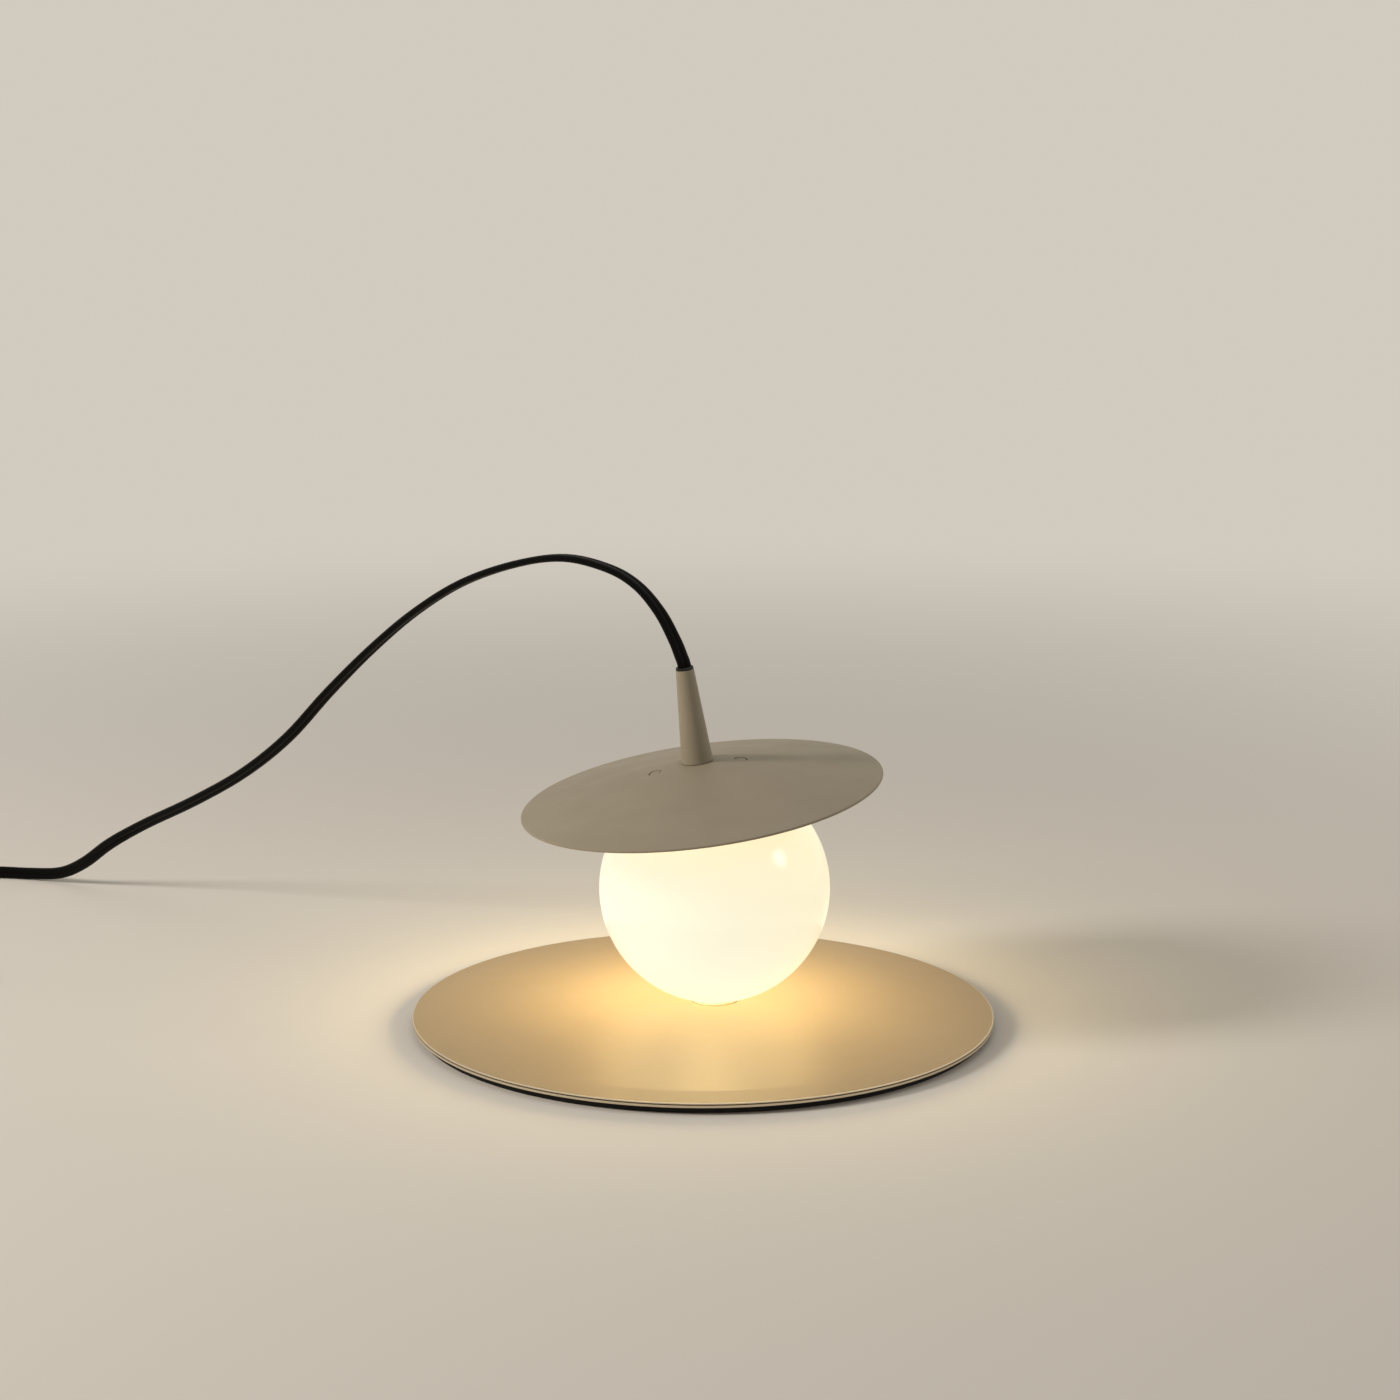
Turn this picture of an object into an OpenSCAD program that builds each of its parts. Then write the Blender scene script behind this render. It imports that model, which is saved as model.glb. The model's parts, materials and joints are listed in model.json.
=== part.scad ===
// Table lamp: an opal globe under a shallow conical hat, resting in a ring seat on a flat round base.
// A flat flex leaves the sleeve on top of the hat and arches over to the surface.
// Millimetres. The origin is the middle of the base, on the surface that it stands on.
// +Z is up, -Y is the front and +X is the viewer's right.

/* [Base] */
// Diameter of the base plate
base_d = 250; // [200:1:320]
// Thickness of the base plate
base_t = 2; // [1.8:0.1:4]
// Bevel around the top edge of the base plate
base_bevel = 0.4; // [0.2:0.1:0.8]
// Thickness of the foot pad under the plate
pad_t = 3; // [2.8:0.1:6]
// How far the foot pad stays back from the plate's edge
pad_inset = 3; // [2:0.5:40]

/* [Seat] */
// Place of the seat to the right of the base's middle
seat_x = 5; // [-30:0.5:30]
// Place of the seat behind the base's middle
seat_y = 15.5; // [-30:0.5:30]
// Diameter of the seat
seat_d = 20; // [17:0.5:26]
// Diameter of the spindle that turns in the base plate
spindle_d = 14; // [9:0.5:15]
// Diameter of the screw that holds the spindle down
spindle_screw_d = 4; // [3:0.5:5]

/* [Head] */
// Lean of the head from upright, in degrees
lean = 8.2; // [0:0.1:20]
// Compass direction of the lean, in degrees from the viewer's right
lean_toward = 204; // [0:1:359]

/* [Globe] */
// Diameter of the glass globe
globe_d = 100; // [84:1:140]
// Thickness of the glass
glass_t = 2.5; // [1.5:0.1:3.5]
// Diameter of the neck on top of the globe
neck_d = 40; // [38:0.5:50]
// Width of each lug on the globe's neck, in degrees
lug_angle = 24; // [16:1:28]

/* [Hat] */
// Diameter of the hat's rim
hat_d = 157; // [120:1:240]
// Height of the hat from rim to crown
hat_rise = 13.8; // [8:0.2:18]
// Thickness of the hat's sheet
hat_t = 1.2; // [0.8:0.1:2]
// Height of the hat's crown over the top of the globe
hat_gap = 7.2; // [6.8:0.1:14]
// Distance of each rivet from the middle of the hat
rivet_r = 18.75; // [14:0.25:19.5]
// Diameter of a rivet's head
rivet_head_d = 4.6; // [4:0.1:6]

/* [Sleeve] */
// Length of the tapered sleeve
sleeve_l = 41; // [32:0.5:70]
// Diameter of the sleeve where it stands on the hat
sleeve_base_d = 13.6; // [13:0.1:17]
// Diameter of the sleeve where the flex leaves it
sleeve_top_d = 7.8; // [7.7:0.1:12]
// Diameter of the threaded tube inside the sleeve
nipple_d = 10; // [9:0.5:10]

/* [Lampholder] */
// Diameter of the lampholder
holder_d = 22; // [18:0.5:23]
// Height of the lampholder
holder_h = 20; // [16:0.5:24]
// Diameter of the bulb
bulb_d = 16; // [12:0.5:18]
// Length of the bulb below the lampholder
bulb_l = 37; // [28:0.5:46]

/* [Flex] */
// Width of the flat flex
flex_w = 6; // [5:0.1:6.2]
// Thickness of the flat flex
flex_t = 3.2; // [2.4:0.1:3.6]
// Radius of the coil at the middle of its turns
coil_r = 33.5; // [30:0.5:36]
// Turns in one layer of the coil
coil_turns = 2.25; // [2.25:1:4.25]

/* [Switch] */
// Length of the flex switch over its noses
switch_l = 78; // [70:1:95]
// Width of the flex switch
switch_w = 24; // [22:0.5:32]
// Height of the flex switch
switch_h = 15; // [14.5:0.5:18]
// Wall of the switch's shells
switch_wall = 1.6; // [1.2:0.1:2]
// Tilt of the rocker to either side, in degrees
rocker_tilt = 10; // [6:0.5:11]

/* [Plug] */
// Width of the plug over its pins
plug_w = 34; // [30:0.5:38]
// Height of the plug
plug_h = 13.6; // [12:0.2:16]
// Length of the plug's body
plug_l = 36; // [30:0.5:45]
// Diameter of a plug pin
pin_d = 4; // [3.8:0.1:4.8]
// Length of a plug pin
pin_l = 19; // [17:0.5:20]
// Distance between the pins at the plug's face
pin_pitch = 18.6; // [17:0.1:19]
// Distance between the tips of the pins
pin_tip_pitch = 17.5; // [16:0.1:19]

/* [Hidden] */
$fn = 64;

// Clearances
eps = 0.01;
running_fit = 0.05;
press_gap = 0.05;
skin_gap = 0.1;
free_gap = 0.3;

// Colours
beige = "#8f8470";
champagne = "#c9a97a";
opal = "#fff3d8";
black = "#1a1a1a";
steel = "#a8a8a8";
brass = "#b58a3c";
ceramic = "#eee8dc";

// Base and seat
base_top = pad_t + base_t;
seat_step = 1;
seat_lip = 1;
seat_hole_d = 12;
flange_z = base_top - seat_step;
spindle_end_z = pad_t - skin_gap;
washer_d = spindle_d + 8;
washer_t = 0.9;
washer_room = 3;
screw_head_d = 2 * spindle_screw_d;
screw_head_h = 1.2;

// Head, measured along its axis from the middle of the globe
globe_r = globe_d / 2;
neck_r = neck_d / 2;
pole_gap = 0.4;
globe_z = base_top + pole_gap + globe_r;
axis = [sin(lean) * cos(lean_toward), sin(lean) * sin(lean_toward), cos(lean)];
hat_r = hat_d / 2;
apex_z = globe_r + hat_gap;
crown_r = 8.6;
hat_slope = hat_rise / (hat_r - crown_r);
rivet_turn = 7;
rivet_d = 3;
rivet_head_h = 0.6;

// Gallery that carries the globe, and the bayonet on the globe's neck
gallery_t = 1;
gallery_r = neck_r + 3.4;
skirt_z = sphere_height(globe_r, gallery_r - gallery_t) + 3 * free_gap;
tab_w = 1;
tab_h = 1;
tab_angle = 30;
lug_h = 1.2;
collar_t = 0.9;
collar_r = neck_r + skin_gap + collar_t;
lug_r = gallery_r - gallery_t - free_gap;
gasket_t = 1;
gasket_w = 2.2;
neck_top_z = gallery_under(neck_r) - gasket_t - 3 * free_gap;

// Threaded tube, nuts and bracket
nipple_bore = flex_w + 1;
nut_width = nipple_d + 4;
nut_h = 3;
crown_under_z = gallery_under(0);
bracket_t = 1;
bracket_w = 14;
bracket_top_z = crown_under_z - nut_h;
lower_nut_z = bracket_top_z - bracket_t - nut_h;
nipple_bottom_z = lower_nut_z - 0.5;
nipple_top_z = apex_z + 13;

// Lampholder and bulb
holder_top_z = nipple_bottom_z - 1;
holder_bottom_z = holder_top_z - holder_h;
holder_screw_d = 3;
holder_screw_z = holder_top_z - 8;
leg_in = holder_d / 2 + skin_gap;
bulb_pin_pitch = 9;
bulb_pin_w = 3;
bulb_pin_t = 0.8;
bulb_pin_l = 6.5;
bulb_cap_h = 9;
pocket_h = bulb_pin_l + 5;
contact_t = 0.5;
contact_w = 3.4;
core_d = 2.2;
core_pitch = 2.6;

// Sleeve
sleeve_top_z = apex_z + sleeve_l;
sleeve_bore = flex_w + 1;
bush_flange_h = 1;
bush_l = 5;
exit_z = sleeve_top_z + bush_flange_h;
flex_end_z = nipple_top_z + 2;
grip_z = flex_end_z + 2;
grip_l = 6;
slot_gap = 0.1;
grub_d = 3;
grub_z = apex_z + 4.8;

// Places on the surface of what lies on the flex
switch_at = [-400, 146];
coil_at = [-376, 45];
plug_at = [-414, -24];
boot_l = 22;

// Flex coil, in two layers
turn_pitch = flex_t + 0.2;
coil_out_r = coil_r + turn_pitch * coil_turns / 2;
coil_in_r = coil_r - turn_pitch * coil_turns / 2;
tie_t = 0.9;
tie_w = 6;
coil_h = 2 * flex_w + 0.2;
layer_z = tie_t + skin_gap + flex_w / 2;

// Flex switch
split_z = 7;
nose_w = 9;
switch_body_l = switch_l - 24;
corner_r = 5;
rocker_l = 14;
rocker_w = 9.6;
rocker_gap = 0.6;
rocker_z = switch_h - 3.8;
rocker_pin_d = 2.5;
rocker_depth = 3;
rib_t = 2;
rib_l = 8;
bridge_t = 0.6;
bridge_l = 12;
bridge_w = 3;
post_x = 6;
post_t = 2.4;
contact_top_z = rocker_z - (rocker_depth + press_gap + bridge_t) * cos(rocker_tilt)
    - (post_x + post_t / 2) * sin(rocker_tilt) - free_gap;
case_screw_d = 2.5;
case_screw_x = switch_body_l / 2 - 5;
case_screw_y = switch_w / 2 - 5.5;
case_boss_d = 6.5;
switch_core_d = 2;

// Plug
boot_end_d = 7.4;
boot_base_d = 8.8;
pin_shank_d = 2.6;
sleeve_pin_d = 3.4;
sleeve_pin_l = 10;
pin_splay = atan((pin_pitch - pin_tip_pitch) / 2 / pin_l);

// Route of the flex: each point has its place and the direction in which the flex is wide
function exit_at(z) = [seat_x, seat_y, globe_z] + z * axis;
wide_at_exit = [0.9, 0.4, 0];
switch_in_y = switch_at[1] + switch_l / 2;
switch_out_y = switch_at[1] - switch_l / 2;
boot_end_y = plug_at[1] + boot_l;
coil_edge_x = coil_at[0] - coil_out_r;
top_layer_z = layer_z + flex_w + 0.2;
route_to_switch = [
    concat(exit_at(exit_z + 1), wide_at_exit),
    [-9.5, 10.5, 158.6, 0.9, 0.4, 0],
    [-12.2, 12.3, 165, 0.85, 0.5, 0],
    [-18.4, 16.7, 176, 0.75, 0.65, 0],
    [-27.9, 23.6, 186.2, 0.65, 0.75, 0],
    [-40.5, 32.4, 192.4, 0.6, 0.8, 0],
    [-60, 46, 195, 0.6, 0.8, 0],
    [-82, 62, 190, 0.6, 0.8, 0],
    [-107, 80, 179, 0.6, 0.8, 0],
    [-130, 96, 163, 0.6, 0.8, 0],
    [-152, 112, 143, 0.65, 0.75, -0.1],
    [-174, 127, 120, 0.75, 0.65, -0.25],
    [-196, 142, 95, 0.8, 0.5, -0.35],
    [-220, 160, 74, 0.75, 0.5, -0.4],
    [-247, 179, 56, 0.7, 0.45, -0.55],
    [-276, 200, 39, 0.7, 0.4, -0.6],
    [-296, 213, 26, 0.7, 0.2, -0.7],
    [-312, 225, 13, 0.55, 0, -0.8],
    [-326, 234, 5.5, 0.4, -0.1, -0.9],
    [-343, 241, 3.3, 0.1, 0, -1],
    [-361, 244, 3.2, 0, 0, -1],
    [-379, 240, 3.2, 0, 0, -1],
    [-392, 229, 3.4, -0.4, 0.5, -0.7],
    [-399, 212, 4.6, -0.85, 0.25, -0.4],
    [switch_at[0], switch_in_y + 8, split_z, -1, 0, -0.1],
    [switch_at[0], switch_in_y, split_z, -1, 0, 0]];
route_to_coil = [
    [switch_at[0], switch_out_y, split_z, -1, 0, 0],
    [switch_at[0], switch_out_y - 6, split_z, -1, 0, -0.1],
    [-403, 88, 5.5, -0.85, 0, -0.5],
    [-408, 73, 4.4, -0.5, 0, -0.85],
    [-412, 59, layer_z, -0.1, 0, -1],
    [coil_edge_x, coil_at[1], layer_z, 0, 0, -1]];
route_to_plug = [
    [coil_edge_x, coil_at[1], top_layer_z, 0, 0, -1],
    [-414, 31, 10.2, -0.1, 0, -1],
    [-414, 18, 8.6, -0.5, 0, -0.85],
    [plug_at[0], boot_end_y + 6, plug_h / 2, -0.95, 0, -0.3],
    [plug_at[0], boot_end_y, plug_h / 2, -1, 0, 0]];
rings_per_step = 2;

// Shape functions
function sphere_height(r, across) = sqrt(r * r - across * across);
function hat_top(r) = apex_z - hat_slope * max(r - crown_r, 0);
function hat_under(r) = hat_top(r) - hat_t;
function gallery_under(r) = hat_under(r) - skin_gap - gallery_t;

// Sweep functions
function unit(v) = v / norm(v);
function place(station) = [station[0], station[1], station[2]];
function width_way(station) = [station[3], station[4], station[5]];
function kept(list, i) = list[max(0, min(len(list) - 1, i))];
function spline(a, b, c, d, t) =
    (2 * b + (c - a) * t + (2 * a - 5 * b + 4 * c - d) * t * t + (3 * b - a - 3 * c + d) * t * t * t) / 2;
function smoothed(route) = concat(
    [for (i = [0:len(route) - 2], k = [0:rings_per_step - 1])
        spline(kept(route, i - 1), route[i], route[i + 1], kept(route, i + 2), k / rings_per_step)],
    [route[len(route) - 1]]);
function heading(line, i) =
    let (reach = i == 0 || i == len(line) - 1 ? rings_per_step : 1)
    unit(place(kept(line, i + reach)) - place(kept(line, i - reach)));
function across(line, i, t) = unit(width_way(line[i]) - (width_way(line[i]) * t) * t);
function flex_outline(i) = let (a = 15 + 30 * i)
    [sign(cos(a)) * (flex_w - flex_t) / 2 + cos(a) * flex_t / 2, sin(a) * flex_t / 2];
function flex_ring(line, i) =
    let (t = heading(line, i), w = across(line, i, t), n = cross(t, w))
    [for (k = [0:11]) place(line[i]) + w * flex_outline(k)[0] + n * flex_outline(k)[1]];

// A flat flex swept along a route
module flex_along(route) {
    line = smoothed(route);
    last = len(line) - 1;
    sides = 12;
    points = [for (i = [0:last]) each flex_ring(line, i)];
    skin = [for (i = [0:last - 1], k = [0:sides - 1])
        let (a = i * sides + k, b = i * sides + (k + 1) % sides)
        each [[a, b + sides, b], [a, a + sides, b + sides]]];
    start_cap = [for (k = [0:sides - 1]) k];
    end_cap = [for (k = [sides - 1:-1:0]) last * sides + k];
    polyhedron(points, concat([start_cap, end_cap], skin), convexity = 6);
}

// Puts a piece of the head in its leaning place
module on_head() {
    translate([seat_x, seat_y, globe_z])
        rotate([0, 0, lean_toward])
            rotate([0, lean, 0])
                rotate([0, 0, -lean_toward])
                    children();
}

module on_seat() {
    translate([seat_x, seat_y, 0]) children();
}

module on_switch() {
    translate([switch_at[0], switch_at[1], 0]) rotate([0, 0, -90]) children();
}

module on_plug() {
    translate([plug_at[0], plug_at[1], plug_h / 2]) rotate([0, 0, -90]) children();
}

module ring(outer_d, inner_d, z0, z1) {
    difference() {
        translate([0, 0, z0]) cylinder(d = outer_d, h = z1 - z0);
        translate([0, 0, z0 - 1]) cylinder(d = inner_d, h = z1 - z0 + 2);
    }
}

// Outline of the flat flex with room around it
module flex_slot(room) {
    square([flex_w - flex_t, flex_t + 2 * room], center = true);
    for (side = [-1, 1]) {
        translate([side * (flex_w - flex_t) / 2, 0]) circle(d = flex_t + 2 * room);
    }
}

module flex_block(z0, z1, room) {
    rotate([0, 0, flex_turn()]) translate([0, 0, z0]) linear_extrude(z1 - z0) flex_slot(room);
}

function flex_turn() = atan2(wide_at_exit[1], wide_at_exit[0]);

// Base
module base_plate() {
    color(champagne) difference() {
        rotate_extrude($fn = 128) polygon([
            [0, pad_t],
            [base_d / 2, pad_t],
            [base_d / 2, base_top - base_bevel],
            [base_d / 2 - base_bevel, base_top],
            [0, base_top]]);
        on_seat() translate([0, 0, pad_t - 1]) cylinder(d = spindle_d + 2 * running_fit, h = base_t + 2);
        on_seat() translate([0, 0, flange_z]) cylinder(d = seat_d + 2 * free_gap, h = seat_step + 1);
    }
}

module foot_pad() {
    color(black) difference() {
        cylinder(d = base_d - 2 * pad_inset, h = pad_t);
        on_seat() translate([0, 0, -1]) cylinder(d = washer_d + 2 * washer_room, h = pad_t + 2);
    }
}

module spindle() {
    color(black) on_seat() difference() {
        union() {
            translate([0, 0, flange_z + press_gap]) cylinder(d = seat_d, h = seat_step - press_gap);
            translate([0, 0, spindle_end_z]) cylinder(d = spindle_d, h = base_top - spindle_end_z);
        }
        translate([0, 0, spindle_end_z - 1])
            cylinder(d = spindle_screw_d + 2 * press_gap, h = base_top - spindle_end_z + 1 - seat_step / 2);
    }
}

module seat_ring() {
    color(black) difference() {
        on_seat() ring(seat_d, seat_hole_d, base_top, base_top + seat_lip);
        translate([seat_x, seat_y, globe_z]) sphere(r = globe_r + free_gap, $fn = 128);
    }
}

module spindle_washer() {
    color(steel) on_seat()
        ring(washer_d, spindle_screw_d + 2 * free_gap, spindle_end_z - washer_t, spindle_end_z);
}

module spindle_screw() {
    head_z = spindle_end_z - washer_t - screw_head_h;
    slot_w = 1;
    color(steel) on_seat() difference() {
        union() {
            translate([0, 0, head_z]) cylinder(d = screw_head_d, h = screw_head_h);
            translate([0, 0, head_z + eps])
                cylinder(d = spindle_screw_d, h = base_top - seat_step / 2 - head_z - 2 * press_gap);
        }
        translate([-screw_head_d, -slot_w / 2, head_z - 1])
            cube([2 * screw_head_d, slot_w, 1 + screw_head_h / 2]);
    }
}

// Globe
module globe() {
    color(opal) on_head() rotate_extrude() intersection() {
        translate([0, -globe_r]) square([globe_r, globe_r + neck_top_z]);
        difference() {
            union() {
                circle(r = globe_r);
                square([neck_r, neck_top_z]);
            }
            circle(r = globe_r - glass_t);
            square([neck_r - glass_t, 2 * globe_r]);
        }
    }
}

module globe_collar() {
    lug_z = skirt_z + tab_h + free_gap;
    ring_z = lug_z - free_gap;
    color(steel) on_head() {
        difference() {
            union() {
                translate([0, 0, ring_z]) cylinder(r = collar_r, h = neck_top_z - ring_z);
                for (turn = [0, 120, 240]) {
                    rotate([0, 0, turn - lug_angle / 2]) rotate_extrude(angle = lug_angle)
                        translate([neck_r + 2 * skin_gap, lug_z])
                            square([lug_r - neck_r - 2 * skin_gap, lug_h]);
                }
            }
            translate([0, 0, ring_z - 1]) cylinder(r = neck_r + skin_gap, h = neck_top_z - ring_z + 2);
        }
    }
}

module neck_gasket() {
    color(ceramic) on_head()
        ring(neck_d, neck_d - 2 * gasket_w, neck_top_z, neck_top_z + gasket_t);
}

// Hat
module rivet_places() {
    for (turn = [0, 180]) {
        rotate([0, 0, rivet_turn + turn])
            translate([rivet_r, 0, hat_top(rivet_r)])
                rotate([0, atan(hat_slope), 0])
                    children();
    }
}

module hat() {
    color(beige) on_head() difference() {
        rotate_extrude($fn = 128) polygon([
            [nipple_d / 2 + skin_gap, apex_z - hat_t],
            [crown_r, hat_under(crown_r)],
            [hat_r - hat_t * hat_slope, hat_under(hat_r)],
            [hat_r, hat_top(hat_r)],
            [crown_r, apex_z],
            [nipple_d / 2 + skin_gap, apex_z]]);
        rivet_places() translate([0, 0, -3 * hat_t]) cylinder(d = rivet_d + 2 * press_gap, h = 6 * hat_t);
    }
}

module hat_rivets() {
    grip = hat_t + skin_gap + gallery_t;
    color(beige) on_head() rivet_places() {
        cylinder(d1 = rivet_head_d, d2 = rivet_head_d - rivet_head_h, h = rivet_head_h);
        translate([0, 0, -grip - eps]) cylinder(d = rivet_d, h = grip + 2 * eps);
        translate([0, 0, -grip - rivet_head_h]) cylinder(d = rivet_head_d, h = rivet_head_h);
    }
}

module gallery() {
    inner_r = nipple_d / 2 + skin_gap;
    top_drop = gallery_t;
    color(steel) on_head() difference() {
        union() {
            rotate_extrude() polygon([
                [inner_r, crown_under_z],
                [crown_r, gallery_under(crown_r)],
                [gallery_r - gallery_t, gallery_under(gallery_r - gallery_t)],
                [gallery_r - gallery_t, skirt_z],
                [gallery_r, skirt_z],
                [gallery_r, gallery_under(gallery_r) + top_drop],
                [crown_r, gallery_under(crown_r) + top_drop],
                [inner_r, crown_under_z + top_drop]]);
            for (turn = [0, 120, 240]) {
                rotate([0, 0, turn - tab_angle / 2]) rotate_extrude(angle = tab_angle)
                    translate([gallery_r - gallery_t - tab_w, skirt_z + skin_gap])
                        square([tab_w + gallery_t / 2, tab_h - skin_gap]);
            }
        }
        rivet_places() translate([0, 0, -6 * hat_t]) cylinder(d = rivet_d + 2 * press_gap, h = 8 * hat_t);
    }
}

// Threaded tube and its nuts
module nipple() {
    color(steel) on_head() ring(nipple_d, nipple_bore, nipple_bottom_z, nipple_top_z);
}

module nipple_nuts() {
    color(brass) on_head() for (z = [crown_under_z - nut_h, lower_nut_z]) {
        difference() {
            translate([0, 0, z]) cylinder(d = nut_width / cos(30), h = nut_h, $fn = 6);
            translate([0, 0, z - 1]) cylinder(d = nipple_d + 2 * press_gap, h = nut_h + 2);
        }
    }
}

// Lampholder
module holder_bracket() {
    leg_z = holder_screw_z - 4;
    plate_z = bracket_top_z - bracket_t;
    color(steel) on_head() difference() {
        union() {
            translate([-leg_in - bracket_t, -bracket_w / 2, plate_z])
                cube([2 * (leg_in + bracket_t), bracket_w, bracket_t]);
            for (side = [0, 1]) mirror([side, 0, 0])
                translate([leg_in, -bracket_w / 2, leg_z])
                    cube([bracket_t, bracket_w, bracket_top_z - leg_z]);
        }
        translate([0, 0, plate_z - 1]) cylinder(d = nipple_d + 2 * skin_gap, h = bracket_t + 2);
        translate([-holder_d, 0, holder_screw_z]) rotate([0, 90, 0])
            cylinder(d = holder_screw_d + 2 * press_gap, h = 2 * holder_d);
    }
}

module holder_screws() {
    shank_l = 6;
    head_h = 1.6;
    color(steel) on_head() for (side = [0, 1]) mirror([side, 0, 0])
        translate([leg_in + bracket_t, 0, holder_screw_z]) rotate([0, 90, 0]) {
            cylinder(d = 2 * holder_screw_d - 1, h = head_h);
            translate([0, 0, -shank_l]) cylinder(d = holder_screw_d, h = shank_l + eps);
        }
}

module lampholder() {
    pocket_in = bulb_pin_pitch / 2 - bulb_pin_t / 2 - free_gap;
    pocket_out = bulb_pin_pitch / 2 + bulb_pin_t / 2 + free_gap + contact_t + press_gap;
    pocket_w = contact_w + 2 * free_gap;
    color(ceramic) on_head() difference() {
        translate([0, 0, holder_bottom_z]) cylinder(d = holder_d, h = holder_h);
        for (side = [0, 1]) mirror([side, 0, 0]) {
            translate([pocket_in, -pocket_w / 2, holder_bottom_z - 1])
                cube([pocket_out - pocket_in, pocket_w, pocket_h + 1]);
            translate([holder_d / 2 - 6, 0, holder_screw_z]) rotate([0, 90, 0])
                cylinder(d = holder_screw_d + 2 * press_gap, h = 8);
        }
    }
}

module holder_contacts() {
    inner_x = bulb_pin_pitch / 2 + bulb_pin_t / 2 + free_gap;
    color(brass) on_head() for (side = [0, 1]) mirror([side, 0, 0])
        translate([inner_x, -contact_w / 2, holder_bottom_z + 1])
            cube([contact_t, contact_w, pocket_h - 1]);
}

module core_wires() {
    color(brass) on_head() rotate([0, 0, flex_turn()]) for (side = [-1, 1])
        translate([side * core_pitch / 2, 0, holder_top_z])
            cylinder(d = core_d, h = flex_end_z - holder_top_z);
}

// Bulb
module bulb_cap() {
    color(ceramic) on_head() intersection() {
        translate([0, 0, holder_bottom_z - free_gap - bulb_cap_h]) cylinder(d = bulb_d, h = bulb_cap_h);
        translate([0, 0, holder_bottom_z - bulb_cap_h / 2])
            cube([bulb_d, bulb_d - 6, 2 * bulb_cap_h], center = true);
    }
}

module bulb_pins() {
    color(steel) on_head() for (side = [-1, 1])
        translate([side * bulb_pin_pitch / 2 - bulb_pin_t / 2, -bulb_pin_w / 2, holder_bottom_z - free_gap])
            cube([bulb_pin_t, bulb_pin_w, bulb_pin_l]);
}

module bulb_envelope() {
    top_z = holder_bottom_z - free_gap - bulb_cap_h;
    end_z = holder_bottom_z - bulb_l + bulb_d / 2;
    color(opal) on_head() {
        translate([0, 0, end_z]) cylinder(d = bulb_d, h = top_z - end_z);
        translate([0, 0, end_z]) sphere(d = bulb_d);
    }
}

// Sleeve and what holds the flex in it
module sleeve() {
    socket_h = nipple_top_z - apex_z + free_gap;
    color(beige) on_head() difference() {
        translate([0, 0, apex_z]) cylinder(d1 = sleeve_base_d, d2 = sleeve_top_d, h = sleeve_l);
        translate([0, 0, apex_z - 1]) cylinder(d = nipple_d + 2 * press_gap, h = socket_h + 1);
        translate([0, 0, apex_z]) cylinder(d = sleeve_bore, h = sleeve_l + 1);
        translate([0, 0, grub_z]) rotate([-90, 0, 0])
            cylinder(d = grub_d + 2 * press_gap, h = sleeve_base_d);
    }
}

module sleeve_screw() {
    grub_in = nipple_d / 2 + skin_gap;
    taper = (sleeve_base_d - sleeve_top_d) / sleeve_l;
    grub_out = (sleeve_base_d - taper * (grub_z - apex_z)) / 2 - skin_gap;
    color(steel) on_head() translate([0, grub_in, grub_z]) rotate([-90, 0, 0]) difference() {
        cylinder(d = grub_d, h = grub_out - grub_in);
        translate([0, 0, (grub_out - grub_in) / 3]) cylinder(d = grub_d / 2, h = 4, $fn = 6);
    }
}

module flex_grip() {
    color(black) on_head() difference() {
        translate([0, 0, grip_z]) cylinder(d = sleeve_bore - 2 * press_gap, h = grip_l);
        flex_block(grip_z - 1, grip_z + grip_l + 1, slot_gap);
    }
}

module flex_bush() {
    color(black) on_head() difference() {
        union() {
            translate([0, 0, sleeve_top_z - bush_l])
                cylinder(d = sleeve_bore - 2 * press_gap, h = bush_l + eps);
            translate([0, 0, sleeve_top_z]) cylinder(d = sleeve_top_d - 2 * skin_gap, h = bush_flange_h);
        }
        flex_block(sleeve_top_z - bush_l - 1, exit_z + 1, slot_gap);
    }
}

module flex_in_sleeve() {
    color(black) on_head() flex_block(flex_end_z, sleeve_top_z, 0);
}

// Free flex
module flex_to_switch() {
    color(black) flex_along(route_to_switch);
}

module flex_to_coil() {
    color(black) flex_along(route_to_coil);
}

module flex_coil() {
    color(black) translate([coil_at[0], coil_at[1], tie_t + skin_gap])
        rotate_extrude() translate([coil_in_r - flex_t / 2, 0])
            square([coil_out_r - coil_in_r + flex_t, coil_h]);
}

module coil_ties() {
    gap = free_gap;
    inner_x = coil_in_r - flex_t / 2 - gap;
    inner_w = coil_out_r - coil_in_r + flex_t + 2 * gap;
    inner_h = coil_h + skin_gap + gap;
    color(black) for (turn = [60, 240]) {
        translate([coil_at[0], coil_at[1], 0]) rotate([0, 0, turn]) difference() {
            translate([inner_x - tie_t, -tie_w / 2, 0])
                cube([inner_w + 2 * tie_t, tie_w, inner_h + 2 * tie_t]);
            translate([inner_x, -tie_w, tie_t]) cube([inner_w, 2 * tie_w, inner_h]);
        }
    }
}

module flex_to_plug() {
    color(black) flex_along(route_to_plug);
}

// Flex switch, drawn along X with the lamp's side at -X
module switch_outline(inset) {
    half_l = switch_body_l / 2 - inset;
    half_w = switch_w / 2 - inset;
    r = corner_r - inset;
    end_x = switch_l / 2 - inset;
    square([2 * half_l, 2 * (half_w - r)], center = true);
    square([2 * (half_l - r), 2 * half_w], center = true);
    for (x = [-1, 1], y = [-1, 1]) {
        translate([x * (half_l - r), y * (half_w - r)]) circle(r = r);
    }
    for (side = [0, 1]) mirror([side, 0]) polygon([
        [half_l - r, half_w - r],
        [end_x, nose_w / 2 - inset],
        [end_x, inset - nose_w / 2],
        [half_l - r, r - half_w]]);
}

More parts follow.
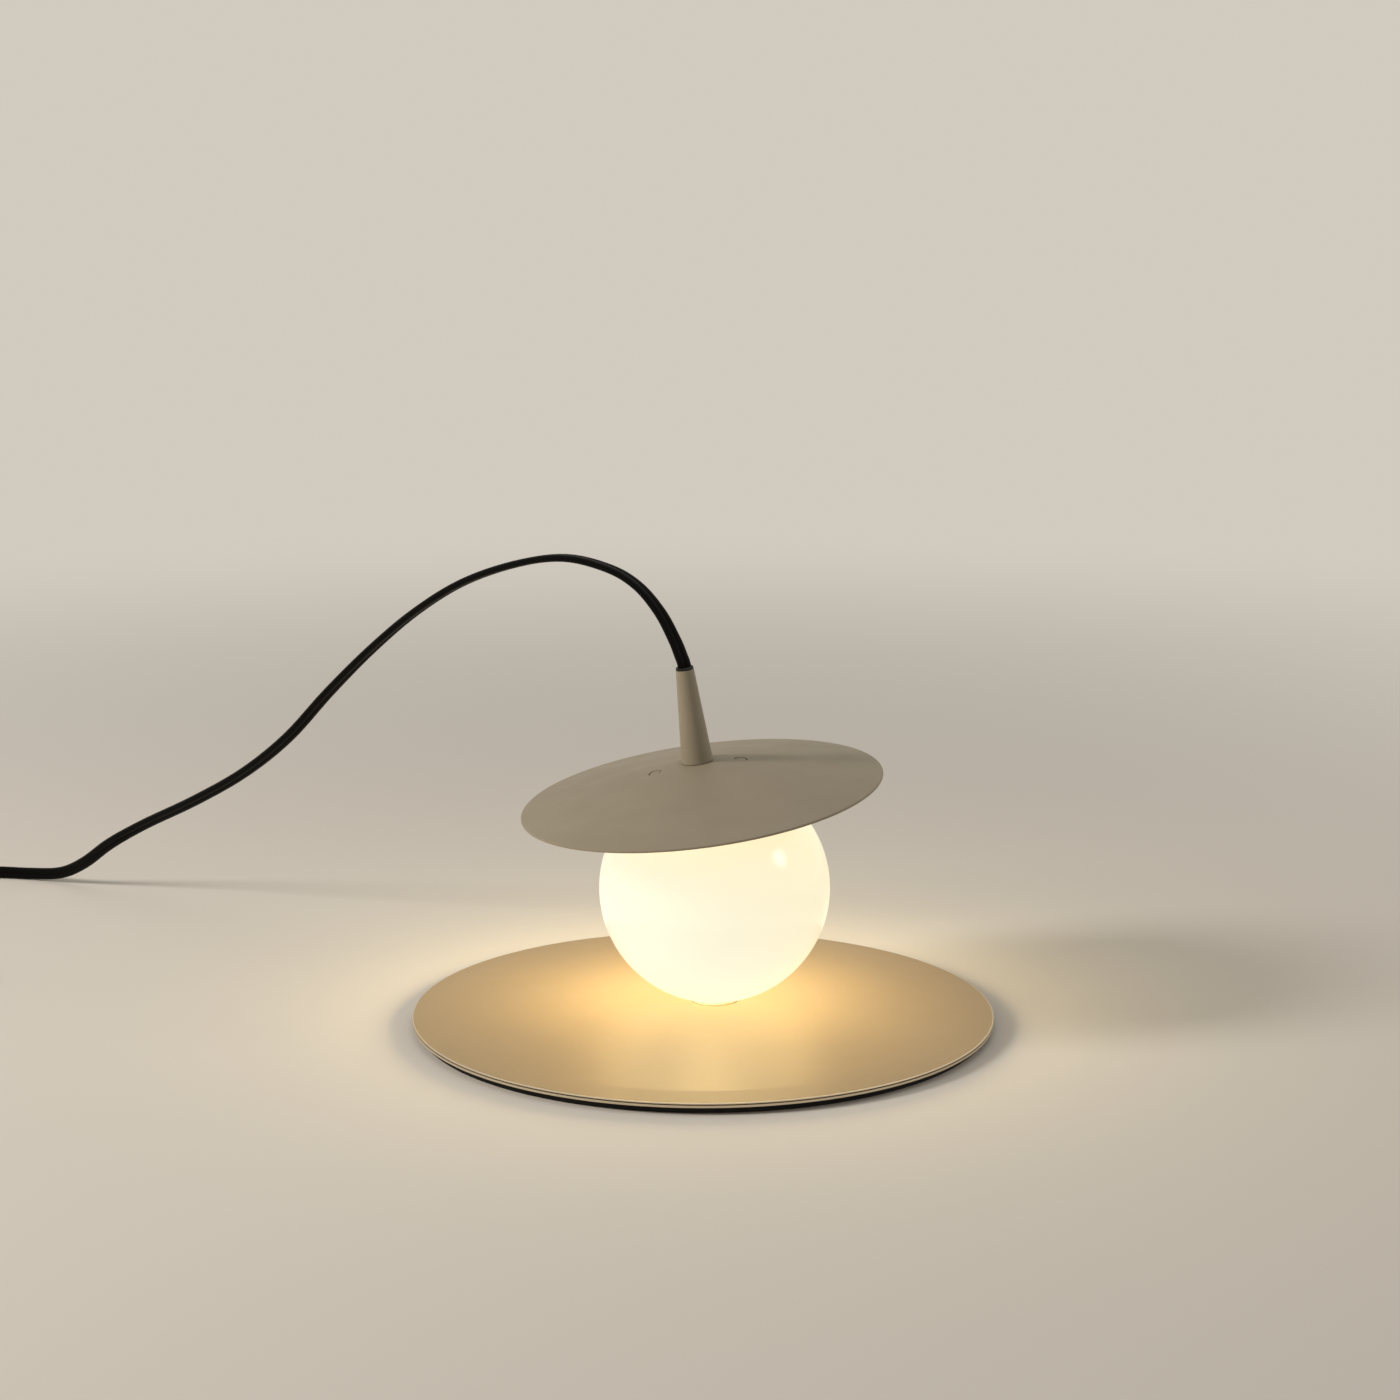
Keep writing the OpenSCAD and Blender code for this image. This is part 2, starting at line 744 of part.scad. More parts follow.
module case_screw_places() {
    for (side = [-1, 1]) translate([side * case_screw_x, case_screw_y, 0]) children();
}

module flex_entry() {
    for (side = [-1, 1]) translate([side * switch_l / 2, 0, split_z]) rotate([0, 90, 0]) rotate([0, 0, 90])
        linear_extrude(4 * switch_wall, center = true) flex_slot(slot_gap);
}

module switch_lower_shell() {
    head_room_d = 2 * case_screw_d + 0.4;
    color(black) on_switch() difference() {
        union() {
            difference() {
                linear_extrude(split_z) switch_outline(0);
                translate([0, 0, switch_wall]) linear_extrude(split_z) switch_outline(switch_wall);
            }
            case_screw_places() cylinder(d = case_boss_d, h = split_z);
        }
        case_screw_places() {
            translate([0, 0, -1]) cylinder(d = case_screw_d + 2 * skin_gap, h = split_z + 2);
            translate([0, 0, -1]) cylinder(d = head_room_d, h = 1 + switch_wall + free_gap);
        }
        flex_entry();
    }
}

module switch_upper_shell() {
    rib_y = rocker_w / 2 + rocker_gap + free_gap;
    color(black) on_switch() difference() {
        union() {
            difference() {
                translate([0, 0, split_z]) linear_extrude(switch_h - split_z) switch_outline(0);
                translate([0, 0, split_z - 1])
                    linear_extrude(switch_h - switch_wall - split_z + 1) switch_outline(switch_wall);
            }
            case_screw_places() translate([0, 0, split_z])
                cylinder(d = case_boss_d, h = switch_h - switch_wall / 2 - split_z);
            for (side = [0, 1]) mirror([0, side, 0])
                translate([-rib_l / 2, rib_y, rocker_z - rocker_pin_d])
                    cube([rib_l, rib_t, switch_h - switch_wall / 2 - rocker_z + rocker_pin_d]);
        }
        translate([-rocker_l / 2 - 2 * rocker_gap, -rocker_w / 2 - rocker_gap, split_z])
            cube([rocker_l + 4 * rocker_gap, rocker_w + 2 * rocker_gap, switch_h]);
        translate([0, -switch_w / 2 + 2 * switch_wall, rocker_z]) rotate([-90, 0, 0])
            cylinder(d = rocker_pin_d + 2 * eps, h = switch_w - 4 * switch_wall);
        case_screw_places() translate([0, 0, split_z - 1])
            cylinder(d = case_screw_d + 2 * press_gap, h = 1 + switch_h - switch_wall - split_z - 1);
        flex_entry();
    }
}

module switch_screws() {
    head_z = switch_wall + free_gap - case_screw_d / 2;
    color(steel) on_switch() case_screw_places() {
        translate([0, 0, head_z]) cylinder(d = 2 * case_screw_d, h = case_screw_d / 2);
        translate([0, 0, head_z + eps]) cylinder(d = case_screw_d, h = switch_h - switch_wall - 2 - head_z);
    }
}

// The rocker lies pressed down on its +X side
module on_rocker() {
    on_switch() translate([0, 0, rocker_z]) rotate([0, rocker_tilt, 0]) children();
}

module switch_rocker() {
    dip_z = 2;
    end_z = dip_z + rocker_l / 2 * tan(rocker_tilt);
    color(black) on_rocker() rotate([90, 0, 0]) difference() {
        linear_extrude(rocker_w, center = true) polygon([
            [-rocker_l / 2, -rocker_depth / 2],
            [-rocker_l / 4, -rocker_depth],
            [rocker_l / 4, -rocker_depth],
            [rocker_l / 2, -rocker_depth / 2],
            [rocker_l / 2, end_z],
            [0, dip_z],
            [-rocker_l / 2, end_z]]);
        cylinder(d = rocker_pin_d + 2 * running_fit, h = 2 * rocker_w, center = true);
    }
}

module rocker_pin() {
    pin_reach = rocker_w / 2 + rocker_gap + free_gap + rib_t;
    color(steel) on_switch() translate([0, 0, rocker_z]) rotate([90, 0, 0])
        cylinder(d = rocker_pin_d, h = 2 * pin_reach, center = true);
}

module contact_bridge() {
    color(brass) on_rocker() translate([-bridge_l / 2, -bridge_w / 2, -rocker_depth - press_gap - bridge_t])
        cube([bridge_l, bridge_w, bridge_t]);
}

module switch_contacts() {
    foot_l = 8;
    foot_t = 1;
    foot_w = 5;
    color(brass) on_switch() for (side = [0, 1]) mirror([side, 0, 0])
        translate([post_x - post_t / 2, -foot_w / 2, switch_wall]) {
            cube([foot_l, foot_w, foot_t]);
            cube([post_t, foot_w, contact_top_z - switch_wall]);
        }
}

module switch_cores() {
    rest_z = switch_wall + press_gap + switch_core_d / 2;
    foot_top = switch_wall + 1 + press_gap + switch_core_d / 2;
    through_l = switch_body_l - 2 * corner_r;
    stub_l = switch_body_l / 2 - post_x - 3 * post_t;
    color(brass) on_switch() {
        translate([-through_l / 2, 2.5 + switch_wall - switch_w / 2, rest_z]) rotate([0, 90, 0])
            cylinder(d = switch_core_d, h = through_l);
        for (side = [0, 1]) mirror([side, 0, 0])
            translate([post_x + 2 * post_t, 0, foot_top]) rotate([0, 90, 0])
                cylinder(d = switch_core_d, h = stub_l);
    }
}

// Plug, drawn along X with its pins at +X
module plug_body() {
    neck_w = boot_base_d + 2;
    shoulder_x = plug_l * 0.6;
    crown_x = plug_l * 0.4;
    color(black) on_plug() difference() {
        intersection() {
            translate([0, 0, -plug_h / 2]) linear_extrude(plug_h) polygon([
                [0, -neck_w / 2],
                [shoulder_x, -plug_w / 2],
                [plug_l, -plug_w / 2],
                [plug_l, plug_w / 2],
                [shoulder_x, plug_w / 2],
                [0, neck_w / 2]]);
            rotate([90, 0, 0]) linear_extrude(plug_w, center = true) polygon([
                [0, -boot_base_d / 2],
                [crown_x, -plug_h / 2],
                [plug_l, -plug_h / 2],
                [plug_l, plug_h / 2],
                [crown_x, plug_h / 2],
                [0, boot_base_d / 2]]);
        }
        pin_places() translate([0, 0, -pin_l / 2]) cylinder(d = pin_shank_d + 2 * press_gap, h = pin_l);
    }
}

module plug_boot() {
    color(black) on_plug() rotate([0, -90, 0]) cylinder(d1 = boot_base_d, d2 = boot_end_d, h = boot_l);
}

// Axis of each pin, with Z pointing out of the plug's face
module pin_places() {
    for (side = [0, 1]) mirror([0, side, 0])
        translate([plug_l, pin_pitch / 2, 0]) rotate([0, 0, -pin_splay]) rotate([0, 90, 0]) children();
}

module plug_pins() {
    tip_r = pin_d / 4;
    color(steel) on_plug() pin_places() {
        translate([0, 0, -pin_l / 2]) cylinder(d = pin_shank_d, h = pin_l / 2 + sleeve_pin_l + eps);
        translate([0, 0, sleeve_pin_l]) cylinder(d = pin_d, h = pin_l - sleeve_pin_l - tip_r);
        translate([0, 0, pin_l - tip_r]) cylinder(d1 = pin_d, d2 = pin_d - 2 * tip_r, h = tip_r);
    }
}

module pin_sleeves() {
    color(black) on_plug() pin_places()
        ring(sleeve_pin_d, pin_shank_d + 2 * press_gap, skin_gap, sleeve_pin_l - skin_gap);
}

base_plate();
foot_pad();
spindle();
seat_ring();
spindle_washer();
spindle_screw();
globe();
globe_collar();
neck_gasket();
hat();
hat_rivets();
gallery();
nipple();
nipple_nuts();
holder_bracket();
holder_screws();
lampholder();
holder_contacts();
core_wires();
bulb_cap();
bulb_pins();
bulb_envelope();
sleeve();
sleeve_screw();
flex_grip();
flex_bush();
flex_in_sleeve();
flex_to_switch();
flex_to_coil();
flex_coil();
coil_ties();
flex_to_plug();
switch_lower_shell();
switch_upper_shell();
switch_screws();
switch_rocker();
rocker_pin();
switch_contacts();
contact_bridge();
switch_cores();
plug_body();
plug_boot();
plug_pins();
pin_sleeves();
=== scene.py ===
"""Looks of a globe table lamp, laid out as a Blender add-on around the lamp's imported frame.

Lengths are metres. The head's pieces are drawn upright around the middle of the globe and then leaned.
"""

import json
import math

import bmesh
import bpy
from bpy.props import FloatProperty, FloatVectorProperty, IntProperty, PointerProperty
from mathutils import Matrix, Vector
from mathutils.geometry import convex_hull_2d

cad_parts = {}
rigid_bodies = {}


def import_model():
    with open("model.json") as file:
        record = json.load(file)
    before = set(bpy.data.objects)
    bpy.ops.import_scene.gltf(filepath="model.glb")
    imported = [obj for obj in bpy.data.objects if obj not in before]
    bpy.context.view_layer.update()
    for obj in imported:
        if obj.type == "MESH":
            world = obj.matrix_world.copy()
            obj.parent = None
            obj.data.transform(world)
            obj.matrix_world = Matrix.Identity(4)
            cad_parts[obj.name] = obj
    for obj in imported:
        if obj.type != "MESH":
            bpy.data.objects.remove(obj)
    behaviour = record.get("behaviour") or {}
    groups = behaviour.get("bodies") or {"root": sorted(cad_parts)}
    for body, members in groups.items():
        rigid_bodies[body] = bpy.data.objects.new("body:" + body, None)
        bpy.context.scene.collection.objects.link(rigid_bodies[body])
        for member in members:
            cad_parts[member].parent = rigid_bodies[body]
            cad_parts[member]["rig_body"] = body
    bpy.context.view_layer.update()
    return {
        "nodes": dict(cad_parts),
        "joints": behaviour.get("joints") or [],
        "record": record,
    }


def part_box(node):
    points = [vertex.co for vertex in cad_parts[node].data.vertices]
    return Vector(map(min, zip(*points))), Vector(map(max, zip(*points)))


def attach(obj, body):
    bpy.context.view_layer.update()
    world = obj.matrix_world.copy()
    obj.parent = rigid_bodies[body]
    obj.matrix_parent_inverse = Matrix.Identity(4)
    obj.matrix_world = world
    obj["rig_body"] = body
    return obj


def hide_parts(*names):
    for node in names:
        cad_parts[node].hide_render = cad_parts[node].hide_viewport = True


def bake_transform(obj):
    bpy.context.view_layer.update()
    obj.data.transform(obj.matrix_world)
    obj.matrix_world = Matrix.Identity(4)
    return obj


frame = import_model()

bl_info = {
    "name": "Globe Table Lamp",
    "version": (1, 0, 0),
    "blender": (4, 5, 0),
    "location": "View3D > Sidebar > Lamp",
    "description": "Builds the looks of a globe table lamp around its packed frame",
    "category": "Object",
}

MM = 0.001
UP = Vector((0, 0, 1))

# Angle in degrees from which an edge is sharp, and distances within which points are merged
SHARP_ANGLE = 30
DOUBLES = 1e-7
SEAM = 1e-6
SLIVERS = 2e-6

# Places that come from the frame
JOINTS = {joint["name"]: joint for joint in frame["joints"]}
SEAT = Vector(JOINTS["head_swivel"]["pos_m"])
HEAD_PIVOT = Vector(JOINTS["head_tilt"]["pos_m"])
HEAD_UP = Vector(JOINTS["globe_twist"]["axis"]).normalized()
HEAD_PLACE = Matrix.Translation(HEAD_PIVOT) @ UP.rotation_difference(HEAD_UP).to_matrix().to_4x4()
ROCKER_PIVOT = Vector(JOINTS["rocker_press"]["pos_m"])
ALONG_FRONT = Matrix.Rotation(math.radians(-90), 4, "Z")
SWITCH_PLACE = Matrix.Translation((ROCKER_PIVOT.x, ROCKER_PIVOT.y, 0)) @ ALONG_FRONT
SLOT_OF = {part["node"]: part["material_slot"] for part in frame["record"]["subparts"]}

# Frame of the photograph
CAMERA_AT = (-1.3 * MM, -1250 * MM, 388.2 * MM)
CAMERA_PITCH = math.radians(-11.18)
FOCAL_PIXELS = 3012
FRAME_PIXELS = 1400
SENSOR = 36

# Stage
FLOOR_REACH = 30
FLOOR_FADE = (0.4, 1.5)
BACKGROUND_STRENGTH = 0.95
SOFT_LIGHT = (1, 0.985, 0.96, 1)
SOFT_STRENGTH = 0.27
BULB_AT = HEAD_PIVOT + Vector((-4.5, 5, -10)) * MM
BULB_RADIUS = 32 * MM
BULB_POWER = 1.27

# Flex in the sleeve, with heights over the globe's middle, and the direction in which it is wide there
FLEX_EXIT_HEIGHT = 100.2 * MM
FLEX_START_HEIGHT = 95 * MM
WIDE_AT_EXIT = (0.9, 0.4, 0)

# Routes of the flex in millimetres: each point has its place and the direction in which the flex is wide
ROUTE_TO_SWITCH = (
    (-9.5, 10.5, 158.6, 0.9, 0.4, 0),
    (-12.2, 12.3, 165, 0.85, 0.5, 0),
    (-18.4, 16.7, 176, 0.75, 0.65, 0),
    (-27.9, 23.6, 186.2, 0.65, 0.75, 0),
    (-40.5, 32.4, 192.4, 0.6, 0.8, 0),
    (-60, 46, 195, 0.6, 0.8, 0),
    (-82, 62, 190, 0.6, 0.8, 0),
    (-107, 80, 179, 0.6, 0.8, 0),
    (-130, 96, 163, 0.6, 0.8, 0),
    (-152, 112, 143, 0.65, 0.75, -0.1),
    (-174, 127, 120, 0.75, 0.65, -0.25),
    (-196, 142, 95, 0.8, 0.5, -0.35),
    (-220, 160, 74, 0.75, 0.5, -0.4),
    (-247, 179, 56, 0.7, 0.45, -0.55),
    (-276, 200, 39, 0.7, 0.4, -0.6),
    (-296, 213, 26, 0.7, 0.2, -0.7),
    (-312, 225, 13, 0.55, 0, -0.8),
    (-326, 234, 5.5, 0.4, -0.1, -0.9),
    (-343, 241, 3.3, 0.1, 0, -1),
    (-361, 244, 3.2, 0, 0, -1),
    (-379, 240, 3.2, 0, 0, -1),
    (-392, 229, 3.4, -0.4, 0.5, -0.7),
    (-399, 212, 4.6, -0.85, 0.25, -0.4),
    (-400, 193, 7, -1, 0, -0.1),
    (-400, 183, 7, -1, 0, 0),
)
ROUTE_TO_COIL = (
    (-400, 109, 7, -1, 0, 0),
    (-400, 101, 7, -1, 0, -0.1),
    (-403, 88, 5.5, -0.85, 0, -0.5),
    (-408, 73, 4.4, -0.5, 0, -0.85),
    (-412, 59, 4, -0.1, 0, -1),
)
ROUTE_TO_PLUG = (
    (-414, 31, 10.2, -0.1, 0, -1),
    (-414, 18, 8.6, -0.5, 0, -0.85),
    (-414, 4, 6.8, -0.95, 0, -0.3),
    (-414, -4, 6.8, -1, 0, 0),
)

# Steps between two points of a route and in a turn of the coil, and the part of a turn in which it climbs
FLEX_STEPS = 6
COIL_STEPS = 72
COIL_CLIMB = 0.5


# Settings
def to_linear(channel):
    """A display channel of 0 to 255 as a linear value."""
    share = channel / 255
    return share / 12.92 if share <= 0.04045 else ((share + 0.055) / 1.055) ** 2.4


def length(name, description, millimetres):
    """A setting that holds a length."""
    return FloatProperty(name=name, description=description, default=millimetres * MM,
                         subtype="DISTANCE", unit="LENGTH", precision=5)


def angle(name, description, degrees):
    """A setting that holds an angle."""
    return FloatProperty(name=name, description=description, default=math.radians(degrees), subtype="ANGLE")


def colour(name, description, red, green, blue):
    """A setting that holds a colour, given as it displays."""
    shade = (to_linear(red), to_linear(green), to_linear(blue), 1)
    return FloatVectorProperty(name=name, description=description, default=shade, size=4, min=0, max=1,
                               subtype="COLOR")


class LampBase(bpy.types.PropertyGroup):
    """Sizes of the base plate."""
    diameter: length("Diameter", "Across the base plate", 250)
    underside: length("Underside", "Height of the plate's underside over the surface", 3)
    thickness: length("Thickness", "Thickness of the plate", 2)
    edge: length("Edge", "Radius of the rounded top edge", 0.4)
    groove_depth: length("Groove depth", "Depth of the line around the rim", 2)
    groove_height: length("Groove height", "Height of the line around the rim", 0.5)
    seat_recess: length("Seat recess", "Radius of the recess that takes the seat", 10.3)
    recess_depth: length("Recess depth", "Depth of the recess that takes the seat", 1)
    spindle_bore: length("Spindle bore", "Radius of the bore that takes the spindle", 7.05)


class LampHead(bpy.types.PropertyGroup):
    """Sizes of the globe, hat and sleeve."""
    globe_radius: length("Globe radius", "Radius of the glass globe", 50)
    glass: length("Glass", "Thickness of the glass", 2.5)
    neck_radius: length("Neck radius", "Radius of the globe's neck", 20)
    neck_top: length("Neck top", "Height of the neck's rim over the globe's middle", 50.75)
    hat_radius: length("Hat radius", "Radius of the hat's rim", 78.5)
    hat_rise: length("Hat rise", "Height of the hat from rim to crown", 13.8)
    hat_sheet: length("Hat sheet", "Thickness of the hat's sheet", 1.2)
    crown_radius: length("Crown radius", "Radius of the hat's flat crown", 8.6)
    crown_height: length("Crown height", "Height of the crown over the globe's middle", 57.2)
    crown_bend: length("Crown bend", "Radius of the bend from the crown into the hat's slope", 12)
    rivet_reach: length("Rivet reach", "Distance of each rivet from the hat's middle", 18.75)
    rivet_radius: length("Rivet radius", "Radius of a rivet's head", 2.4)
    rivet_room: length("Rivet room", "Gap around a rivet's head in its recess", 0.5)
    rivet_depth: length("Rivet depth", "Depth of the recess around a rivet's head", 0.6)
    rivet_sink: length("Rivet sink", "How far a rivet's head lies below the hat's surface", 0.12)
    rivet_turn: angle("Rivet turn", "Direction of the first rivet from the viewer's right", 7)
    sleeve_length: length("Sleeve length", "Length of the tapered sleeve", 41)
    sleeve_foot: length("Sleeve foot", "Radius of the sleeve where it stands on the hat", 6.8)
    sleeve_mouth: length("Sleeve mouth", "Radius of the sleeve where the flex leaves it", 3.9)
    sleeve_bore: length("Sleeve bore", "Radius of the sleeve's bore", 3.5)
    socket_radius: length("Socket radius", "Radius of the sleeve's socket for the threaded tube", 5.05)
    socket_depth: length("Socket depth", "Depth of the sleeve's socket for the threaded tube", 13.3)
    bush_depth: length("Bush depth", "How far the bush reaches into the sleeve", 6)
    bush_flange: length("Bush flange", "Height of the bush over the sleeve's mouth", 1)
    screw_height: length("Screw height", "Height of the grub screw over the crown", 4.8)
    screw_radius: length("Screw radius", "Radius of the grub screw's hole", 1.55)


class LampFlex(bpy.types.PropertyGroup):
    """Sizes of the flat flex and its coil."""
    width: length("Width", "Width of the flat flex", 6)
    thickness: length("Thickness", "Thickness of the flat flex", 3.2)
    groove_width: length("Groove width", "Width of the groove between the two cores", 1.5)
    groove_depth: length("Groove depth", "Depth of the groove between the two cores", 0.5)
    coil_x: length("Coil X", "Middle of the coil, to the right of the base's middle", -376)
    coil_y: length("Coil Y", "Middle of the coil, behind the base's middle", 45)
    coil_radius: length("Coil radius", "Radius of the coil at the middle of its turns", 33.5)
    turn_pitch: length("Turn pitch", "Distance between turns in a layer", 3.4)
    low_layer: length("Low layer", "Height of the lower layer's middle", 4)
    high_layer: length("High layer", "Height of the upper layer's middle", 10.2)
    tie_width: length("Tie width", "Width of a coil tie", 6)
    tie_sheet: length("Tie sheet", "Thickness of a coil tie", 0.9)
    tie_count: IntProperty(name="Ties", description="Number of ties on the coil", default=2, min=1)
    tie_turn: angle("Tie turn", "Direction of the first tie from the viewer's right", 60)
    layer_turns: FloatProperty(name="Layer turns", description="Turns in one layer of the coil", default=2.25)


class LampSwitch(bpy.types.PropertyGroup):
    """Sizes of the switch in the flex."""
    half_length: length("Half length", "Half the length over the noses", 39)
    half_width: length("Half width", "Half the width of the body", 12)
    nose_half_width: length("Nose half width", "Half the width of a nose", 4.5)
    shoulder: length("Shoulder", "Where the body starts to narrow, from its middle", 18)
    nose_root: length("Nose root", "Where a nose starts, from the middle", 34)
    height: length("Height", "Height of the switch", 15)
    split: length("Split", "Height of the line between the shells", 7)
    seam: length("Seam", "Half the gap between the shells", 0.1)
    wall: length("Wall", "Wall of the shells", 1.6)
    screw_reach: length("Screw reach", "Distance of each screw from the switch's middle, along it", 22)
    screw_aside: length("Screw aside", "Distance of each screw from the switch's middle, across it", 6.5)
    well_radius: length("Well radius", "Radius of the well around a screw's head", 2.7)
    rocker_length: length("Rocker length", "Length of the rocker", 14)
    rocker_width: length("Rocker width", "Width of the rocker", 9.6)
    rocker_gap: length("Rocker gap", "Gap around the rocker", 0.6)
    rocker_tilt: angle("Rocker tilt", "Tilt of the pressed rocker", 10)


class LampPlug(bpy.types.PropertyGroup):
    """Sizes of the two-pole plug."""
    half_width: length("Half width", "Half the width over the pins", 17)
    half_height: length("Half height", "Half the height", 6.8)
    length: length("Length", "Length of the body", 36)
    boot_length: length("Boot length", "Length of the boot around the flex", 22)
    boot_radius: length("Boot radius", "Radius of the boot where it meets the body", 4.4)
    boot_tip: length("Boot tip", "Radius of the boot where the flex leaves it", 3.7)
    pin_radius: length("Pin radius", "Radius of a pin", 2)
    shank_radius: length("Shank radius", "Radius of a pin inside its sleeve", 1.3)
    sleeve_radius: length("Sleeve radius", "Radius of a pin's sleeve", 1.7)
    sleeve_length: length("Sleeve length", "Length of a pin's sleeve", 10)
    pin_length: length("Pin length", "Length of a pin", 19)
    pin_pitch: length("Pin pitch", "Distance between the pins at the plug's face", 18.6)
    pin_tip_pitch: length("Pin tip pitch", "Distance between the tips of the pins", 17.5)


class LampColours(bpy.types.PropertyGroup):
    """Colours of the finishes and the stage."""
    plate: colour("Plate", "Satin champagne metal of the base", 170, 147, 110)
    plate_edge: colour("Plate edge", "Cut edge of the base", 222, 208, 182)
    paint: colour("Paint", "Warm grey-beige paint of the hat and sleeve", 150, 138, 116)
    glass: colour("Glass", "Opal glass", 130, 124, 112)
    glow_bright: colour("Bright glow", "Glass nearest the bulb", 255, 254, 231)
    glow_soft: colour("Soft glow", "Glass furthest from the bulb", 255, 243, 203)
    bulb_light: colour("Bulb light", "Light that the globe gives", 255, 231, 171)
    sheath: colour("Sheath", "Black sheath of the flex, rubber and rocker", 7, 6, 5)
    moulding: colour("Moulding", "Black moulded plastic and foam", 20, 19, 18)
    tape: colour("Tape", "Woven tape of the coil's ties", 44, 43, 42)
    zinc: colour("Zinc", "Zinc on screws and other small steel pieces", 176, 178, 182)
    enamel: colour("Enamel", "White enamel of the gallery", 226, 222, 212)
    aluminium: colour("Aluminium", "Bare aluminium of the globe's collar", 202, 202, 200)
    brass: colour("Brass", "Bare brass of nuts and contacts", 196, 158, 86)
    nickel: colour("Nickel", "Nickel on the plug's pins", 206, 202, 194)
    ceramic: colour("Ceramic", "White ceramic of the lampholder and the bulb's cap", 230, 225, 212)
    gasket: colour("Gasket", "White silicone of the neck's gasket", 222, 218, 208)
    # The seat ring's pale warm colour is partly its own and partly painted light from the globe.
    seat_ring: colour("Seat ring", "Clear silicone of the seat's ring", 246, 226, 172)
    frost: colour("Frost", "Frosted glass of the bulb", 255, 240, 212)
    insulation: colour("Insulation", "Insulation of the cores", 110, 74, 44)
    floor: colour("Floor", "Pale floor and background", 214, 207, 196)


# Finishes
NOISE_SPAN = (0.3, 0.7)


def add(tree, kind, inputs=None, **settings):
    """Adds a node, with its settings, and with its inputs set or linked."""
    node = tree.nodes.new(kind)
    for name, value in settings.items():
        setattr(node, name, value)
    for name, value in (inputs or {}).items():
        socket = node.inputs[name]
        if isinstance(value, bpy.types.NodeSocket):
            tree.links.new(value, socket)
        else:
            socket.default_value = value
    return node


def start_finish(slot, **values):
    """A new material with values set on its shader, and the tree and shader to work on."""
    material = bpy.data.materials.new(slot + "_finish")
    material.use_nodes = True
    shader = material.node_tree.nodes["Principled BSDF"]
    for name, value in values.items():
        shader.inputs[name.replace("_", " ").title()].default_value = value
    return material, material.node_tree, shader


def colours():
    """The colours as they are set in the scene."""
    return bpy.context.scene.lamp_colours


def object_place(tree):
    """Place on the piece, from the lamp's origin."""
    return add(tree, "ShaderNodeTexCoord").outputs["Object"]


def flex_place(tree, stretch):
    """Place along and around the flex, stretched."""
    place = add(tree, "ShaderNodeUVMap", uv_map="flex").outputs["UV"]
    return add(tree, "ShaderNodeMapping", {"Vector": place, "Scale": stretch}).outputs["Vector"]


def reckon(tree, operation, first, second=0.0, third=0.0):
    """One step of arithmetic on numbers or sockets."""
    node = add(tree, "ShaderNodeMath", {0: first, 1: second, 2: third}, operation=operation)
    return node.outputs["Value"]


def distance(tree, place):
    """How far a place is from the origin."""
    return add(tree, "ShaderNodeVectorMath", {0: place}, operation="LENGTH").outputs["Value"]


def seen_rays(tree):
    """1 for the rays that show the background: from the camera, off gloss and through glass."""
    ray = add(tree, "ShaderNodeLightPath").outputs
    shows = reckon(tree, "MAXIMUM", ray["Is Camera Ray"], ray["Is Glossy Ray"])
    return reckon(tree, "MAXIMUM", shows, ray["Is Transmission Ray"])


def noise(tree, place, scale, detail=3.0):
    """A noise around one half."""
    texture = add(tree, "ShaderNodeTexNoise", {"Vector": place, "Scale": scale, "Detail": detail})
    return texture.outputs["Fac"]


def mottle(tree, shader, place, shade, dark, scale):
    """A base colour that drifts between a shade and a darker one."""
    ramp = add(tree, "ShaderNodeValToRGB", {"Fac": noise(tree, place, scale)})
    low, high = ramp.color_ramp.elements
    low.position, high.position = NOISE_SPAN
    low.color = (shade[0] * dark, shade[1] * dark, shade[2] * dark, 1)
    high.color = shade
    tree.links.new(ramp.outputs["Color"], shader.inputs["Base Color"])


def dull(tree, shader, place, low, high, scale):
    """A roughness that drifts between two values."""
    least, most = NOISE_SPAN
    spread = add(tree, "ShaderNodeMapRange", {"Value": noise(tree, place, scale), "From Min": least,
                                              "From Max": most, "To Min": low, "To Max": high})
    tree.links.new(spread.outputs["Result"], shader.inputs["Roughness"])


def emboss(tree, shader, height, depth):
    """A bump of a real depth."""
    bump = add(tree, "ShaderNodeBump", {"Height": height, "Distance": depth})
    tree.links.new(bump.outputs["Normal"], shader.inputs["Normal"])


def grain(tree, shader, place, scale, depth):
    """A fine bump that follows a noise."""
    emboss(tree, shader, noise(tree, place, scale, detail=2.0), depth)


def plain_finish(slot, shade, roughness, grain_scale=1500, depth=0.02 * MM, glow=0.0, **values):
    """A finish with drifting colour and roughness and a fine grain, which may glow: the bulb's own light on
    the bulb, painted light on the seat's ring.
    """
    if glow:
        values.update(emission_color=colours().bulb_light, emission_strength=glow)
    material, tree, shader = start_finish(slot, **values)
    place = object_place(tree)
    drift = 0.06
    mottle(tree, shader, place, getattr(colours(), shade), dark=0.9, scale=45)
    dull(tree, shader, place, roughness - drift, roughness + drift, scale=120)
    grain(tree, shader, place, grain_scale, depth)
    return material


